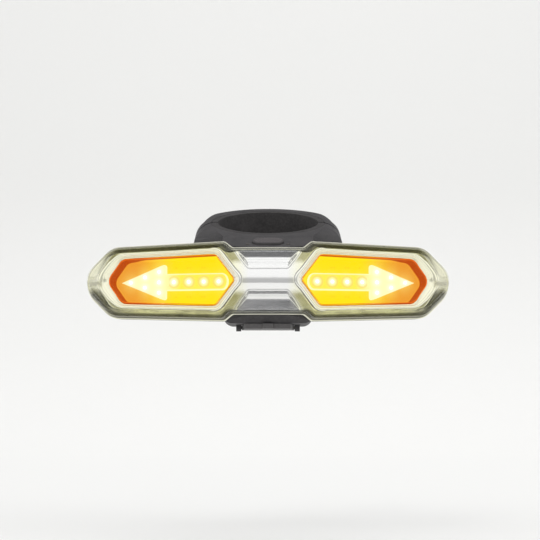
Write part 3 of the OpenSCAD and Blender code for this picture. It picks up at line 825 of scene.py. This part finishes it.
@dataclass
class Bezel:
    """Chrome bezel: a bowed X-shaped bridge with two pockets, sloping bands and a crest round each window."""

    plan: BowTie
    inset: float = 0.75
    foot: float = 1.4
    band_run: float = 1.9
    tip_run: float = 4.6
    crest_lift: float = 0.2
    pocket_tilt: float = 0.09
    band_wave: float = 0.045
    groove: float = 0.13
    step_steep: float = 2.0
    step_drop: float = 0.75
    step_flat: float = 1.0
    fillet: float = 1.3
    tuck: float = 1.3
    lowest: float = 0.6
    skirt: float = -0.2
    crest_share: float = 0.40
    crest_least: float = 1.7
    crest_most: float = 3.3
    crest_v: float = 2.2
    arm_span: Span = (5.0, 6.5, 12.0, 16.0)
    top_span: Span = (8.5, 11.0, 16.0, 33.0)
    # Span along the lobes of the painted dark reflection streaks.
    painted_streak_span: Span = (6.5, 10.0, 43.0, 49.0)
    finish: Finish = Chrome("chrome_bezel", (0.93, 0.93, 0.92))
    # The crest's plating is paler, with a paler painted amber glow beside the windows.
    crest_finish: Finish = Chrome("chrome_crest", (0.94, 0.94, 0.93), painted_glow=(0.96, 0.95, 0.72))

    @staticmethod
    def beside(distance: Array, start: float, end: float) -> Array:
        """1 between two distances, with a soft rise and a softer fall."""
        return plateau(distance, start, start + 0.25, 0.5 * (start + end), end)

    def crest_reach(self, a: Array, z: Array) -> Array:
        """Width of the crest round the window: a share of the band, and a fixed width along the inner V.

        Args:
            a: Along the seam from the middle.
            z: Up from the lamp's middle.

        Returns:
            Widths.
        """
        share = np.clip(self.crest_share * self.plan.inside(a, z), self.crest_least, self.crest_most)
        v = 1 - ease(13.2, 16.2, np.abs(a))
        return share * (1 - v) + self.crest_v * v

    def level(self, a: Array, z: Array) -> tuple[Array, Array]:
        """Surface of the bridge, the arms and the bands.

        The level is the lower of the bridge plate and the band that rises from the rim, less the pockets
        and the fine groove round each. The lower pocket's wall is steep at first and then eases. The shade
        is 1 on the pockets' floors and nearly so along the grooves.

        Args:
            a: Along the seam from the middle.
            z: Up from the lamp's middle.

        Returns:
            The level and the shade.
        """
        p = self.plan
        d = p.inside(a, z)
        run = self.band_run + (self.tip_run - self.band_run) * ease(42, 52, np.abs(a))
        up = (d - self.inset) / run
        wave = self.band_wave * (1 - ease(42, 50, np.abs(a)))
        band = self.foot + (p.plate - self.foot) * (up + wave * np.sin(2 * np.pi * np.clip(up, 0, 1)))
        inside = p.pocket(a, z, p.pocket_side)
        line = np.exp(-((p.pocket(a, z, 1.0) + 0.3) / 0.12) ** 2)
        plate = p.plate_level(a, z, p.plate) - self.groove * line
        lower = soft_min(self.step_steep * inside, self.step_drop + self.step_flat * inside, 0.15)
        cut = plate - np.where(z < 0, lower, p.pocket_steep * inside)
        floor = p.pocket_floor + self.pocket_tilt * (z - 6.3 * np.sign(z))
        shade = np.maximum(ease(0.5, 1.1, floor - cut) * (inside > 0.2), 0.8 * line)
        return soft_min(soft_min(plate, soft_max(cut, floor, self.fillet), 0.10), band, 0.22), shade

    def flank(self, a: Array, z: Array, out: Array) -> Array:
        """Painted reflection: where the plating's colour is darkened to stand for the dark surround that it
        mirrors, on the arms, on the upper bands and at the tips.

        Each place is a product of eases, by the distance beside the crest or the pocket, by the height and by
        the distance from the middle.

        Args:
            a: Along the seam from the middle.
            z: Up from the lamp's middle.
            out: Distance out from the crest.

        Returns:
            Values from 0 to 1.
        """
        away = np.abs(a)
        lower = self.beside(out, 0.1, 3.2) * ease(2.6, 4.8, -z)
        upper = self.beside(-self.plan.pocket(a, z, 1.0), 0.45, 3.4) * ease(4.2, 6.4, z)
        arms = (lower + upper) * plateau(away, *self.arm_span)
        top = ease(0.1, 0.4, out) * ease(2.0, 5.0, z) * plateau(away, *self.top_span)
        ends = ease(1.0, 2.5, z) + 0.7 * ease(1.5, 3.0, -z)
        tips = self.beside(out, 0.15, 1.5) * ease(41.0, 44.0, away) * ends
        return np.clip(arms + top + tips, 0.0, 1.0)

    def body(self) -> bpy.types.Object:
        """Bridge, arms and bands as one surface, drawn under each crest and open at the windows."""
        p = self.plan
        a = p.columns(0.14)
        half = p.half_height(a)
        aa, zz = spread(a, np.linspace(-1, 1, 150), half - self.inset * ease(0, 1, half))
        w, shade = self.level(aa, zz)
        r = p.outside_window(aa, zz)
        out = r - self.crest_reach(aa, zz)
        w = np.maximum(w - self.tuck * (1 - ease(-0.55, 0.0, out)), self.lowest)
        # Painted reflection streaks: below the middle, along the lobes, the plating is darkened in colour.
        streak = ease(2.0, 6.0, -zz) * plateau(np.abs(aa), *self.painted_streak_span)
        faces = Build.quads(len(w) + 2, len(a))
        keep = hem(r).reshape(-1)[faces].max(1) > 0.25
        return Build.piece("bezel_bridge", p.at(hem(aa), hem(zz), footed(w, self.skirt)), faces[keep],
                           self.finish, marks={"shade": hem(shade), "streak": hem(streak),
                                               "flank": hem(self.flank(aa, zz, out))})

    def crest(self, side: Side) -> bpy.types.Object:
        """A profile carried round one window: bevel, fine step, rounded crest and outer groove."""
        p = self.plan
        q = np.array([-0.04, 0.0, 0.06, 0.14, 0.24, 0.34, 0.42, 0.45, 0.48, 0.52, 0.58, 0.66, 0.74, 0.82,
                      0.89, 0.94, 0.97, 1.0, 1.0])
        lift = np.array([-1.2, -1.05, -0.92, -0.76, -0.58, -0.42, -0.32, -0.30, -0.20, -0.13, -0.06, -0.01,
                         0.0, -0.02, -0.07, -0.14, -0.22, -0.36, -1.0])
        wide = self.crest_reach(p.window[:, 0], p.window[:, 1])
        r = q[:, None] * wide[None, :]
        a = p.window[None, :, 0] + r * p.window_normal[None, :, 0]
        z = p.window[None, :, 1] + r * p.window_normal[None, :, 1]
        w = p.plate + self.crest_lift + lift[:, None] + 0 * a
        shade = ease(0.90, 0.96, q)[:, None] + 0 * a
        return Build.piece(f"bezel_crest_{side.word}", p.at(side.value * a, z, w),
                           Build.quads(*a.shape, wrap=True), self.crest_finish, marks={"shade": shade})

    def build(self) -> None:
        """Builds the bezel, which stands for its solid."""
        body = self.body()
        Build.place(body, "lamp", "chrome")
        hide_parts("chrome_bezel")
        for side in Side:
            Build.place(self.crest(side), "lamp", "chrome")


@dataclass
class Lens:
    """Clear lens: a narrow ledge round its foot, a steep slope and a flat face, drawn in over the pockets."""

    plan: BowTie
    face: float = 8.4
    ledge: float = 0.9
    ledge_run: float = 0.5
    rim: float = 2.6
    steep: float = 3.2
    wall: float = 0.8
    over_floor: float = 1.0
    finish: Finish = ClearLens("clear_lens", (0.90, 0.92, 0.91))

    @staticmethod
    def marks(a: Array, z: Array, d: Array) -> dict[str, Array]:
        """What the finish shows: a painted highlight along the edge, a painted glow in it, the dark seal and
        a painted highlight at the tips.

        The edge and the seal are bands of the distance in from the outline, narrower at the waist. At the
        tips the seal fades above, and a short dark joint crosses the edge.

        Args:
            a: Along the seam from the middle.
            z: Up from the lamp's middle.
            d: Distance in from the outline.

        Returns:
            The marks by name.
        """
        away = np.abs(a)
        waist = 1 - ease(9.0, 11.0, away)
        # Painted highlight: the tips are laid pale with the rim colour.
        tip = ease(44.0, 50.5, away)
        # Painted highlight along the outline, and below it a painted glow in the same band.
        edge = 1 - ease(0.14 - 0.09 * waist, 0.34 - 0.18 * waist, d)
        piped = edge * (1 - ease(-2.0, 2.0, z) * ease(9.0, 12.0, away))
        seal = plateau(d, 0.22 - 0.12 * waist, 0.42 - 0.16 * waist, 0.62 - 0.14 * waist, 0.95 - 0.30 * waist)
        seal = seal * (1 - 0.8 * tip * ease(-4.0, -0.5, z))
        joint = 0.45 * ease(46.5, 49.5, away) * np.exp(-((z + 0.7) / 0.9) ** 2)
        return {"edge": edge, "piped": piped, "seal": np.maximum(seal, joint), "tip": tip}

    def shell(self) -> bpy.types.Object:
        """The outer skin as a height over the plan, given its wall inwards."""
        p = self.plan
        a = p.columns(0.24)
        turn = np.linspace(-1, 1, 120)
        aa, zz = spread(a, np.sin(turn * np.pi / 2) * 0.65 + turn * 0.35, p.half_height(a))
        plate = p.plate_level(aa, zz, self.face)
        cut = plate - p.pocket_steep * (p.pocket(aa, zz, p.pocket_side) - 0.2)
        floor = np.full(aa.shape, p.pocket_floor + self.over_floor)
        face = soft_min(plate, soft_max(cut, floor, 0.8), 0.3)
        d = p.inside(aa, zz)
        slope = self.rim + self.steep * (d - self.ledge_run)
        climb = ease(self.ledge_run - 0.1, self.ledge_run + 0.25, d)
        w = footed(soft_min(face, self.ledge + (slope - self.ledge) * climb, 0.5), 0.0)
        marks = {name: hem(values) for name, values in self.marks(aa, zz, d).items()}
        obj = Build.piece("lens_shell", p.at(hem(aa), hem(zz), w), Build.quads(*w.shape), self.finish,
                          marks=marks)
        wall = obj.modifiers.new("wall", "SOLIDIFY")
        wall.thickness, wall.offset = self.wall * MM, -1.0
        return obj

    def build(self) -> None:
        """Builds the lens, which stands for its solid."""
        shell = self.shell()
        Build.place(shell, "lamp", "clear_plastic")
        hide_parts("clear_lens")


@dataclass
class LitWindow:
    """One lobe's amber tray, its arrow and its small lamps."""

    plan: BowTie
    side: Side
    floor: float = -1.1
    top: float = 5.82
    lip: float = 0.2
    draft: float = 0.35
    arrow_tip: float = 37.95
    arrow_len: float = 32.2
    head_len: float = 13.6
    head_half: float = 5.3
    shaft_half: float = 2.5
    arrow_t: float = 1.4
    tail_r: float = 1.9
    corner_r: float = 0.9
    edge_r: float = 0.5
    lamp_in: float = 2.9
    lamp_row: float = 4.3
    lamp_gap: float = 3.1
    lamp_step: float = 4.5
    dome_r: float = 0.68
    dome_h: float = 0.8
    tray_finish: Finish = LitTray("lit_tray", (1.0, 0.80, 0.004))
    arrow_finish: Finish = LitArrow("lit_arrow", (1.0, 0.80, 0.045))
    dome_finish: Finish = LitDome("lit_dome", (1.0, 1.0, 0.95))
    tail: float = field(init=False)
    neck: float = field(init=False)
    lamps: Array = field(init=False)

    def __post_init__(self) -> None:
        """Works out the shaft's ends and the lamps' places: 1, 2 and 3 in the head, 4 along the shaft."""
        self.tail, self.neck = self.arrow_tip - self.arrow_len, self.arrow_tip - self.head_len
        lead = self.arrow_tip - self.lamp_in
        last = lead - 2 * self.lamp_row
        head = [(lead - self.lamp_row * i, (j - i / 2) * self.lamp_gap)
                for i in range(3) for j in range(i + 1)]
        self.lamps = np.array(head + [(last - self.lamp_step * k, 0.0) for k in range(1, 5)])

    def lamp_distance(self, u: Array, z: Array) -> Array:
        """Distance to the nearest lamp."""
        d = np.stack([u, z], axis=-1)[..., None, :] - self.lamps
        return np.sqrt((d * d).sum(-1)).min(-1)

    def put(self, u: Array, z: Array, w: Array) -> Array:
        """Points of the frame for points of this lobe."""
        return self.plan.at(self.side.value * (self.plan.crease + u), z, w)

    def tray(self) -> bpy.types.Object:
        """A profile carried round the window, down the wall, then drawn to the plate's middle line."""
        p = self.plan
        u0, z0 = p.window[:, 0] - p.crease, p.window[:, 1]
        nu, nz = p.window_normal[:, 0], p.window_normal[:, 1]
        r = np.concatenate([[0.0, -0.03, -0.07, -0.6 * self.lip, -self.lip],
                            -self.lip - (self.draft - self.lip) * np.linspace(0.2, 1.0, 5)])
        w = np.array([4.6, 5.65, self.top, self.top, 5.74, 5.2, 3.6, 2.0, 0.4, self.floor + 0.25])
        u = u0 + r[:, None] * nu
        z = z0 + r[:, None] * nz
        w = np.repeat(w[:, None], len(u0), axis=1)
        edge_u, edge_z = u0 - (self.draft + 0.25) * nu, z0 - (self.draft + 0.25) * nz
        spine = np.clip(edge_u, p.window_in + 4.0, p.window_end - 5.0)
        t = np.linspace(0, 1, 26)[:, None] ** 0.9
        u = np.vstack([u, edge_u + (spine - edge_u) * t])
        z = np.vstack([z, edge_z * (1 - t)])
        w = np.vstack([w, np.full((len(t), len(u0)), self.floor)])
        near = np.exp(-(self.lamp_distance(u, z) / 2.6) ** 2)
        marks = {"outward": ease(22.0, 36.0, u + 0.25 * np.abs(z)), "glow": near, "u": u, "z": z,
                 "rise": (w - self.floor) / (self.top - self.floor),
                 "lit_to": 0.60 - 0.58 * ease(29.0, 35.5, u)}
        return Build.piece(f"amber_plate_{self.side.word}", self.put(u, z, w),
                           Build.quads(*u.shape, wrap=True), self.tray_finish, marks=marks)

    def arrow_half(self, u: Array) -> Array:
        """Half the arrow's height: a round tail, an even shaft, then a head with rounded rear corners.

        Args:
            u: Along the lobe from the crease.

        Returns:
            Half heights, 0 past both ends.
        """
        shaft = self.shaft_half * quarter(u - self.tail, self.tail_r)
        slope = (self.head_half + 0.3) * np.clip((self.arrow_tip - u) / self.head_len, 0, 1)
        corner = self.head_half - self.corner_r + self.corner_r * quarter(u - self.neck, self.corner_r)
        head = soft_min(slope, corner, 0.5) * ease(0, 0.05, self.arrow_tip - u)
        return np.where(u < self.neck - 1e-6, shaft, np.maximum(head, 0))

    def arrow(self) -> bpy.types.Object:
        """The light guide: a flat top with rounded edges over the outline, and a wall down to the plate."""
        tail, neck, tip = self.tail, self.neck, self.arrow_tip
        bend = np.cos(np.linspace(0, np.pi / 2, 14))
        u = np.concatenate([tail + self.tail_r * (1 - bend), np.arange(tail + 2.1, neck - 0.2, 0.22),
                            [neck - 2e-3], neck + self.corner_r * (1 - bend),
                            np.arange(neck + 1.1, tip - 0.4, 0.2), tip - 0.4 * bend])
        half = self.arrow_half(u)
        row = np.linspace(-1, 1, 61)
        uu, zz = spread(u, np.sin(row * np.pi / 2) * 0.4 + row * 0.6, half)
        outline = np.concatenate([np.stack([u, half], 1), np.stack([u, -half], 1)[::-1]])
        edge = edge_distance(np.stack([uu, zz], axis=-1), outline)
        w = footed(self.floor + self.arrow_t - self.edge_r * (1 - quarter(edge, self.edge_r)), self.floor)
        uu, zz, edge = hem(uu), hem(zz), hem(edge)
        d = self.lamp_distance(uu, zz)
        marks = {"edge": 1 - ease(0.15, 0.55, edge), "head": ease(neck - 5.0, neck + 2.0, uu),
                 "glow": np.exp(-(d / 1.05) ** 2),
                 "ring": np.exp(-((d - 1.55) / 0.22) ** 2) * (uu < neck - 1.0)}
        return Build.piece(f"arrow_light_{self.side.word}", self.put(uu, zz, w), Build.quads(*uu.shape),
                           self.arrow_finish, weld=WELD / 2, marks=marks)

    def domes(self) -> bpy.types.Object:
        """The small lamps: a profile with a foot ring and a dome, turned about each lamp's axis."""
        r = self.dome_r * np.array([0.80, 0.80, 0.92, 0.92, 0.78, 0.74, 0.66, 0.52, 0.34, 0.16, 0.0])
        h = self.dome_h * np.array([-1.2, -0.1, -0.08, 0.06, 0.10, 0.30, 0.46, 0.60, 0.69, 0.735, 0.745])
        turn = np.linspace(0, 2 * np.pi, 25)[:-1]
        r, h = r[None, :, None], h[None, :, None]
        u = self.lamps[:, 0, None, None] + r * np.cos(turn)
        z = self.lamps[:, 1, None, None] + r * np.sin(turn)
        w = np.broadcast_to(self.floor + self.arrow_t + h, u.shape)
        one = Build.quads(*u.shape[1:], wrap=True)
        first = np.arange(len(self.lamps)) * u[0].size
        return Build.piece(f"lamp_domes_{self.side.word}", self.put(u, z, w),
                           (one[None] + first[:, None, None]).reshape(-1, 4), self.dome_finish,
                           weld=WELD / 2, marks={"rise": np.broadcast_to((h + 0.1) / 0.85, u.shape)})

    def build(self) -> None:
        """Builds the three pieces, each of which stands for its solid."""
        word = self.side.word
        for obj, slot, node in ((self.tray(), "amber", f"amber_tray_{word}"),
                                (self.arrow(), "arrow_light", f"arrow_guide_{word}"),
                                (self.domes(), "lamp_dome", f"leds_{word}")):
            Build.place(obj, "lamp", slot)
            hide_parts(node)


@dataclass
class ButtonSkin:
    """Rubber skin of the button on the sloping top: a stadium with rounded edge and staggered dots."""

    start: tuple[float, float] = (-31.2964, -0.2)
    slope: float = radians(26)
    set_back: float = 3.664
    wide: float = 9.3
    deep: float = 4.728
    rise: float = 0.63
    pitch: float = 1.0
    row: float = 0.8
    dot: float = 0.22
    dot_r: float = 0.27
    edge_r: float = 0.3
    skirt: float = -0.3
    snug: float = 1.004
    finish: Finish = replace(KEY_RUBBER, name="dotted_rubber", rubbed=(0.21, 0.19, 0.195))

    def build(self) -> None:
        """Height over the stadium: the rise, less a quarter round at its edge, plus a bell for each dot."""
        end = self.deep / 2
        flat = self.wide / 2 - end
        turn = np.linspace(0, np.pi / 2, 26)
        half = np.concatenate([np.arange(0, flat, 0.09), flat + end * np.sin(turn)])
        x = np.concatenate([-half[:0:-1], half])
        deep = np.sqrt(np.maximum(end ** 2 - np.maximum(np.abs(x) - flat, 0) ** 2, 0))
        xx, v = spread(x, np.linspace(-1, 1, 54), deep)
        edge = end - np.hypot(np.maximum(np.abs(xx) - flat, 0), v)
        row = np.round(v / self.row)
        shift = xx / self.pitch + 0.5 * (row % 2)
        away = np.hypot((shift - np.round(shift)) * self.pitch, v - row * self.row)
        worn = np.exp(-(away / self.dot_r) ** 4) * ease(0.35, 0.6, edge)
        h = self.rise - self.edge_r * (1 - quarter(edge, self.edge_r)) + self.dot * worn
        h, t = footed(h, self.skirt), hem(v) * self.snug + self.set_back
        points = MM * np.stack([hem(xx) * self.snug,
                                self.start[0] + t * cos(self.slope) - h * sin(self.slope),
                                self.start[1] + t * sin(self.slope) + h * cos(self.slope)], axis=-1)
        skin = Build.piece("button_skin", points, Build.quads(*h.shape), self.finish,
                           marks={"dots": hem(worn)})
        Build.place(skin, "button", "button_rubber")


@dataclass
class Casing:
    """Moulded rear housing, bracket, cap, port cover, button and liners."""

    plastic: Finish = Moulded("grained_plastic", (0.022, 0.022, 0.024))
    cover: Finish = Moulded("cover_plastic", (0.075, 0.072, 0.073), roughness=0.5,
                            bloom=(0.13, 0.125, 0.125))
    rubber: Finish = Moulded("soft_rubber", (0.018, 0.018, 0.018), roughness=0.78, grain=2600.0,
                             shine=0.25)
    key: Finish = KEY_RUBBER

    def build(self) -> None:
        """Copies each solid with rounded edges, on its own body."""
        for name, node, finish, radius, body, slot in (
                ("housing_shell", "rear_housing", self.plastic, 0.35, "lamp", "dark_plastic"),
                ("post_bracket", "clamp_bracket", self.plastic, 0.6, "lamp", "dark_plastic"),
                ("post_cap", "clamp_cap", self.plastic, 0.6, "cap", "dark_plastic"),
                ("port_lid", "usb_cover", self.cover, 0.2, "port_cover", "cover_plastic"),
                ("top_button", "power_button", self.key, 0.25, "button", "button_rubber"),
                ("bracket_pad", "bracket_liner", self.rubber, 0.25, "lamp", "soft_rubber"),
                ("cap_pad", "cap_liner", self.rubber, 0.25, "cap", "soft_rubber")):
            Build.place(Build.moulded(name, node, finish, radius), body, slot)


@dataclass
class Fittings:
    """Screws, nuts and the pieces inside, which keep their solids' shapes."""

    steel: Finish = Metal("screw_steel", (0.42, 0.41, 0.40))
    tinned: Finish = Metal("tinned_steel", (0.66, 0.66, 0.65), roughness=0.34)
    foil: Finish = Metal("cell_foil", (0.60, 0.61, 0.63), roughness=0.4, stretch=(1.0, 1.0, 1.0))
    board: Finish = Board("circuit_board", (0.012, 0.075, 0.035))
    film: Finish = Moulded("flex_film", (0.30, 0.12, 0.02), roughness=0.35, bloom=(0.45, 0.20, 0.04))
    chip: Finish = Moulded("chip_black", (0.015, 0.015, 0.016), roughness=0.6)
    rubber: Finish = Moulded("seal_rubber", (0.016, 0.016, 0.017), roughness=0.8, grain=2600.0, shine=0.2)
    sleeve: Finish = Moulded("lead_sleeve", (0.35, 0.015, 0.012), roughness=0.5, bloom=(0.45, 0.03, 0.025))
    pipe: Finish = Moulded("light_pipe", (0.06, 0.055, 0.05), roughness=0.25, bloom=(0.12, 0.11, 0.10))

    def build(self) -> None:
        """Gives each remaining solid its finish."""
        for finish, nodes in (
                (self.steel, ("clamp_screw_left", "clamp_screw_right", "clamp_nuts", "bracket_screws",
                              "tip_screws")),
                (self.tinned, ("radio_module", "usb_socket")), (self.foil, ("battery_cell",)),
                (self.board, ("led_board_left", "led_board_right", "main_board", "switch_board")),
                (self.film, ("flex_left", "flex_right")), (self.chip, ("driver_chip", "tact_switch")),
                (self.rubber, ("lens_gasket", "usb_plug")), (self.sleeve, ("battery_leads",)),
                (self.pipe, ("indicator_pipes",))):
            for node in nodes:
                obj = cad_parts[node]
                for slot in obj.material_slots:
                    slot.material = finish.material()
                if not obj.material_slots:
                    obj.data.materials.append(finish.material())
                LOG.info("%s: %s", node, finish.name)


@dataclass
class Studio:
    """Camera, soft lamps, pale floor and backdrop."""

    plan: BowTie
    distance: float = 0.360
    elevation: float = radians(-5.5)
    lens: float = 82.36
    shift: tuple[float, float] = (0.0037, 0.0204)
    floor: float = -0.085
    wall: float = 0.80
    wall_top: float = 0.44
    bend: float = 0.25
    paper: Finish = Moulded("pale_floor", (0.80, 0.80, 0.79), roughness=0.85, grain=900.0, shine=0.1,
                            bloom=(0.83, 0.83, 0.82), relief=0.00001)
    lit_at: tuple[float, float, float] = (0.0, -0.02, -0.01)
    beside: Colour = (0.95, 0.95, 0.95)
    surround: tuple[tuple[float, float], ...] = (
        (0.0, 0.25), (1.0, 0.25), (0.25, 0.35), (0.40, 0.60), (0.46, 0.90), (0.475, 0.85), (0.482, 0.48),
        (0.51, 0.48), (0.522, 0.58), (0.533, 0.95), (0.62, 1.0), (0.70, 0.96), (0.80, 1.0), (0.83, 0.95),
        (0.85, 0.18), (0.93, 0.06))

    def camera(self) -> None:
        """Level with the photograph's view: a little below the lamp and looking up at it."""
        data = bpy.data.cameras.new("camera")
        data.lens, data.sensor_width, data.clip_start = self.lens, 36.0, 0.005
        data.shift_x, data.shift_y = self.shift
        obj = bpy.data.objects.new("camera", data)
        aim = np.array([0.0, -self.plan.reach * MM, -self.plan.drop * MM])
        obj.location = aim + self.distance * np.array([0.0, -cos(self.elevation), sin(self.elevation)])
        obj.rotation_euler = (radians(90) - self.elevation, 0.0, 0.0)
        bpy.context.collection.objects.link(obj)
        bpy.context.scene.camera = obj

    def lamp(self, name: str, place: tuple[float, float, float], size: float, watts: float) -> None:
        """A square soft lamp that faces the part and isn't mirrored in it.

        Args:
            name: Its name.
            place: Where it stands, in metres.
            size: Length of its sides, in metres.
            watts: Its power.
        """
        data = bpy.data.lights.new(name, "AREA")
        data.shape, data.size, data.energy = "SQUARE", size, watts
        obj = bpy.data.objects.new(name, data)
        obj.location = place
        aim = np.array(self.lit_at) - np.array(place)
        flat = float(np.hypot(aim[0], aim[1]))
        obj.rotation_euler = (float(np.arctan2(flat, -aim[2])), 0.0,
                              float(np.arctan2(-aim[0], aim[1])))
        obj.visible_glossy = False
        bpy.context.collection.objects.link(obj)

    def backdrop(self) -> None:
        """A floor that bends up into a wall: a profile of straight, arc and straight, drawn along X."""
        turn = np.linspace(0, np.pi / 2, 24)
        y = np.concatenate([[-0.75, 0.0, 0.4], self.wall - self.bend + self.bend * np.sin(turn), [self.wall]])
        z = np.concatenate([[0, 0, 0], self.bend * (1 - np.cos(turn)), [self.wall_top]]) + self.floor
        x = np.linspace(-1.2, 1.2, 9)
        points = np.stack(np.broadcast_arrays(x[None, :], y[:, None], z[:, None]), axis=-1)
        obj = Build.piece("backdrop", points, Build.quads(len(y), len(x)), self.paper)

    def world(self) -> None:
        """Studio surround: grey by the angle from ahead over the top to behind, and pale at both sides."""
        world = bpy.data.worlds.new("studio")
        world.use_nodes = True
        n = Nodes(world.node_tree)
        at = n.make("ShaderNodeTexCoord", output="Generated")
        angle = n.axis(at, "Z").math("ARCTAN2", n.axis(at, "Y") * -1.0) / (2 * np.pi) + 0.5
        grey = n.make("ShaderNodeValToRGB", {"stops": [(where, (v, v, v)) for where, v in self.surround]},
                      {"Fac": angle})
        colour = n.mix(grey, (abs(n.axis(at, "X")).between(0.42, 0.62), self.beside))
        shader = n.make("ShaderNodeBackground", None, {"Color": colour, "Strength": 1.05})
        n.make("ShaderNodeOutputWorld", None, {"Surface": shader})
        bpy.context.scene.world = world

    def build(self) -> None:
        """Sets up the whole stage."""
        self.camera()
        self.backdrop()
        self.world()
        self.lamp("key", (-0.35, -0.55, 0.75), 0.5, 1.6)
        self.lamp("fill", (0.55, -0.35, 0.45), 0.5, 0.9)
        self.lamp("back", (0.1, 0.55, 0.85), 0.6, 1.4)
        bpy.context.scene.view_settings.view_transform = "Standard"


def main() -> None:
    """Builds the stage and every piece."""
    logging.basicConfig(level=logging.INFO, format="%(name)s %(message)s")
    plan = BowTie()
    Studio(plan).build()
    Bezel(plan).build()
    Lens(plan).build()
    for side in Side:
        LitWindow(plan, side).build()
    Casing().build()
    ButtonSkin().build()
    Fittings().build()


if __name__ == "__main__":
    main()
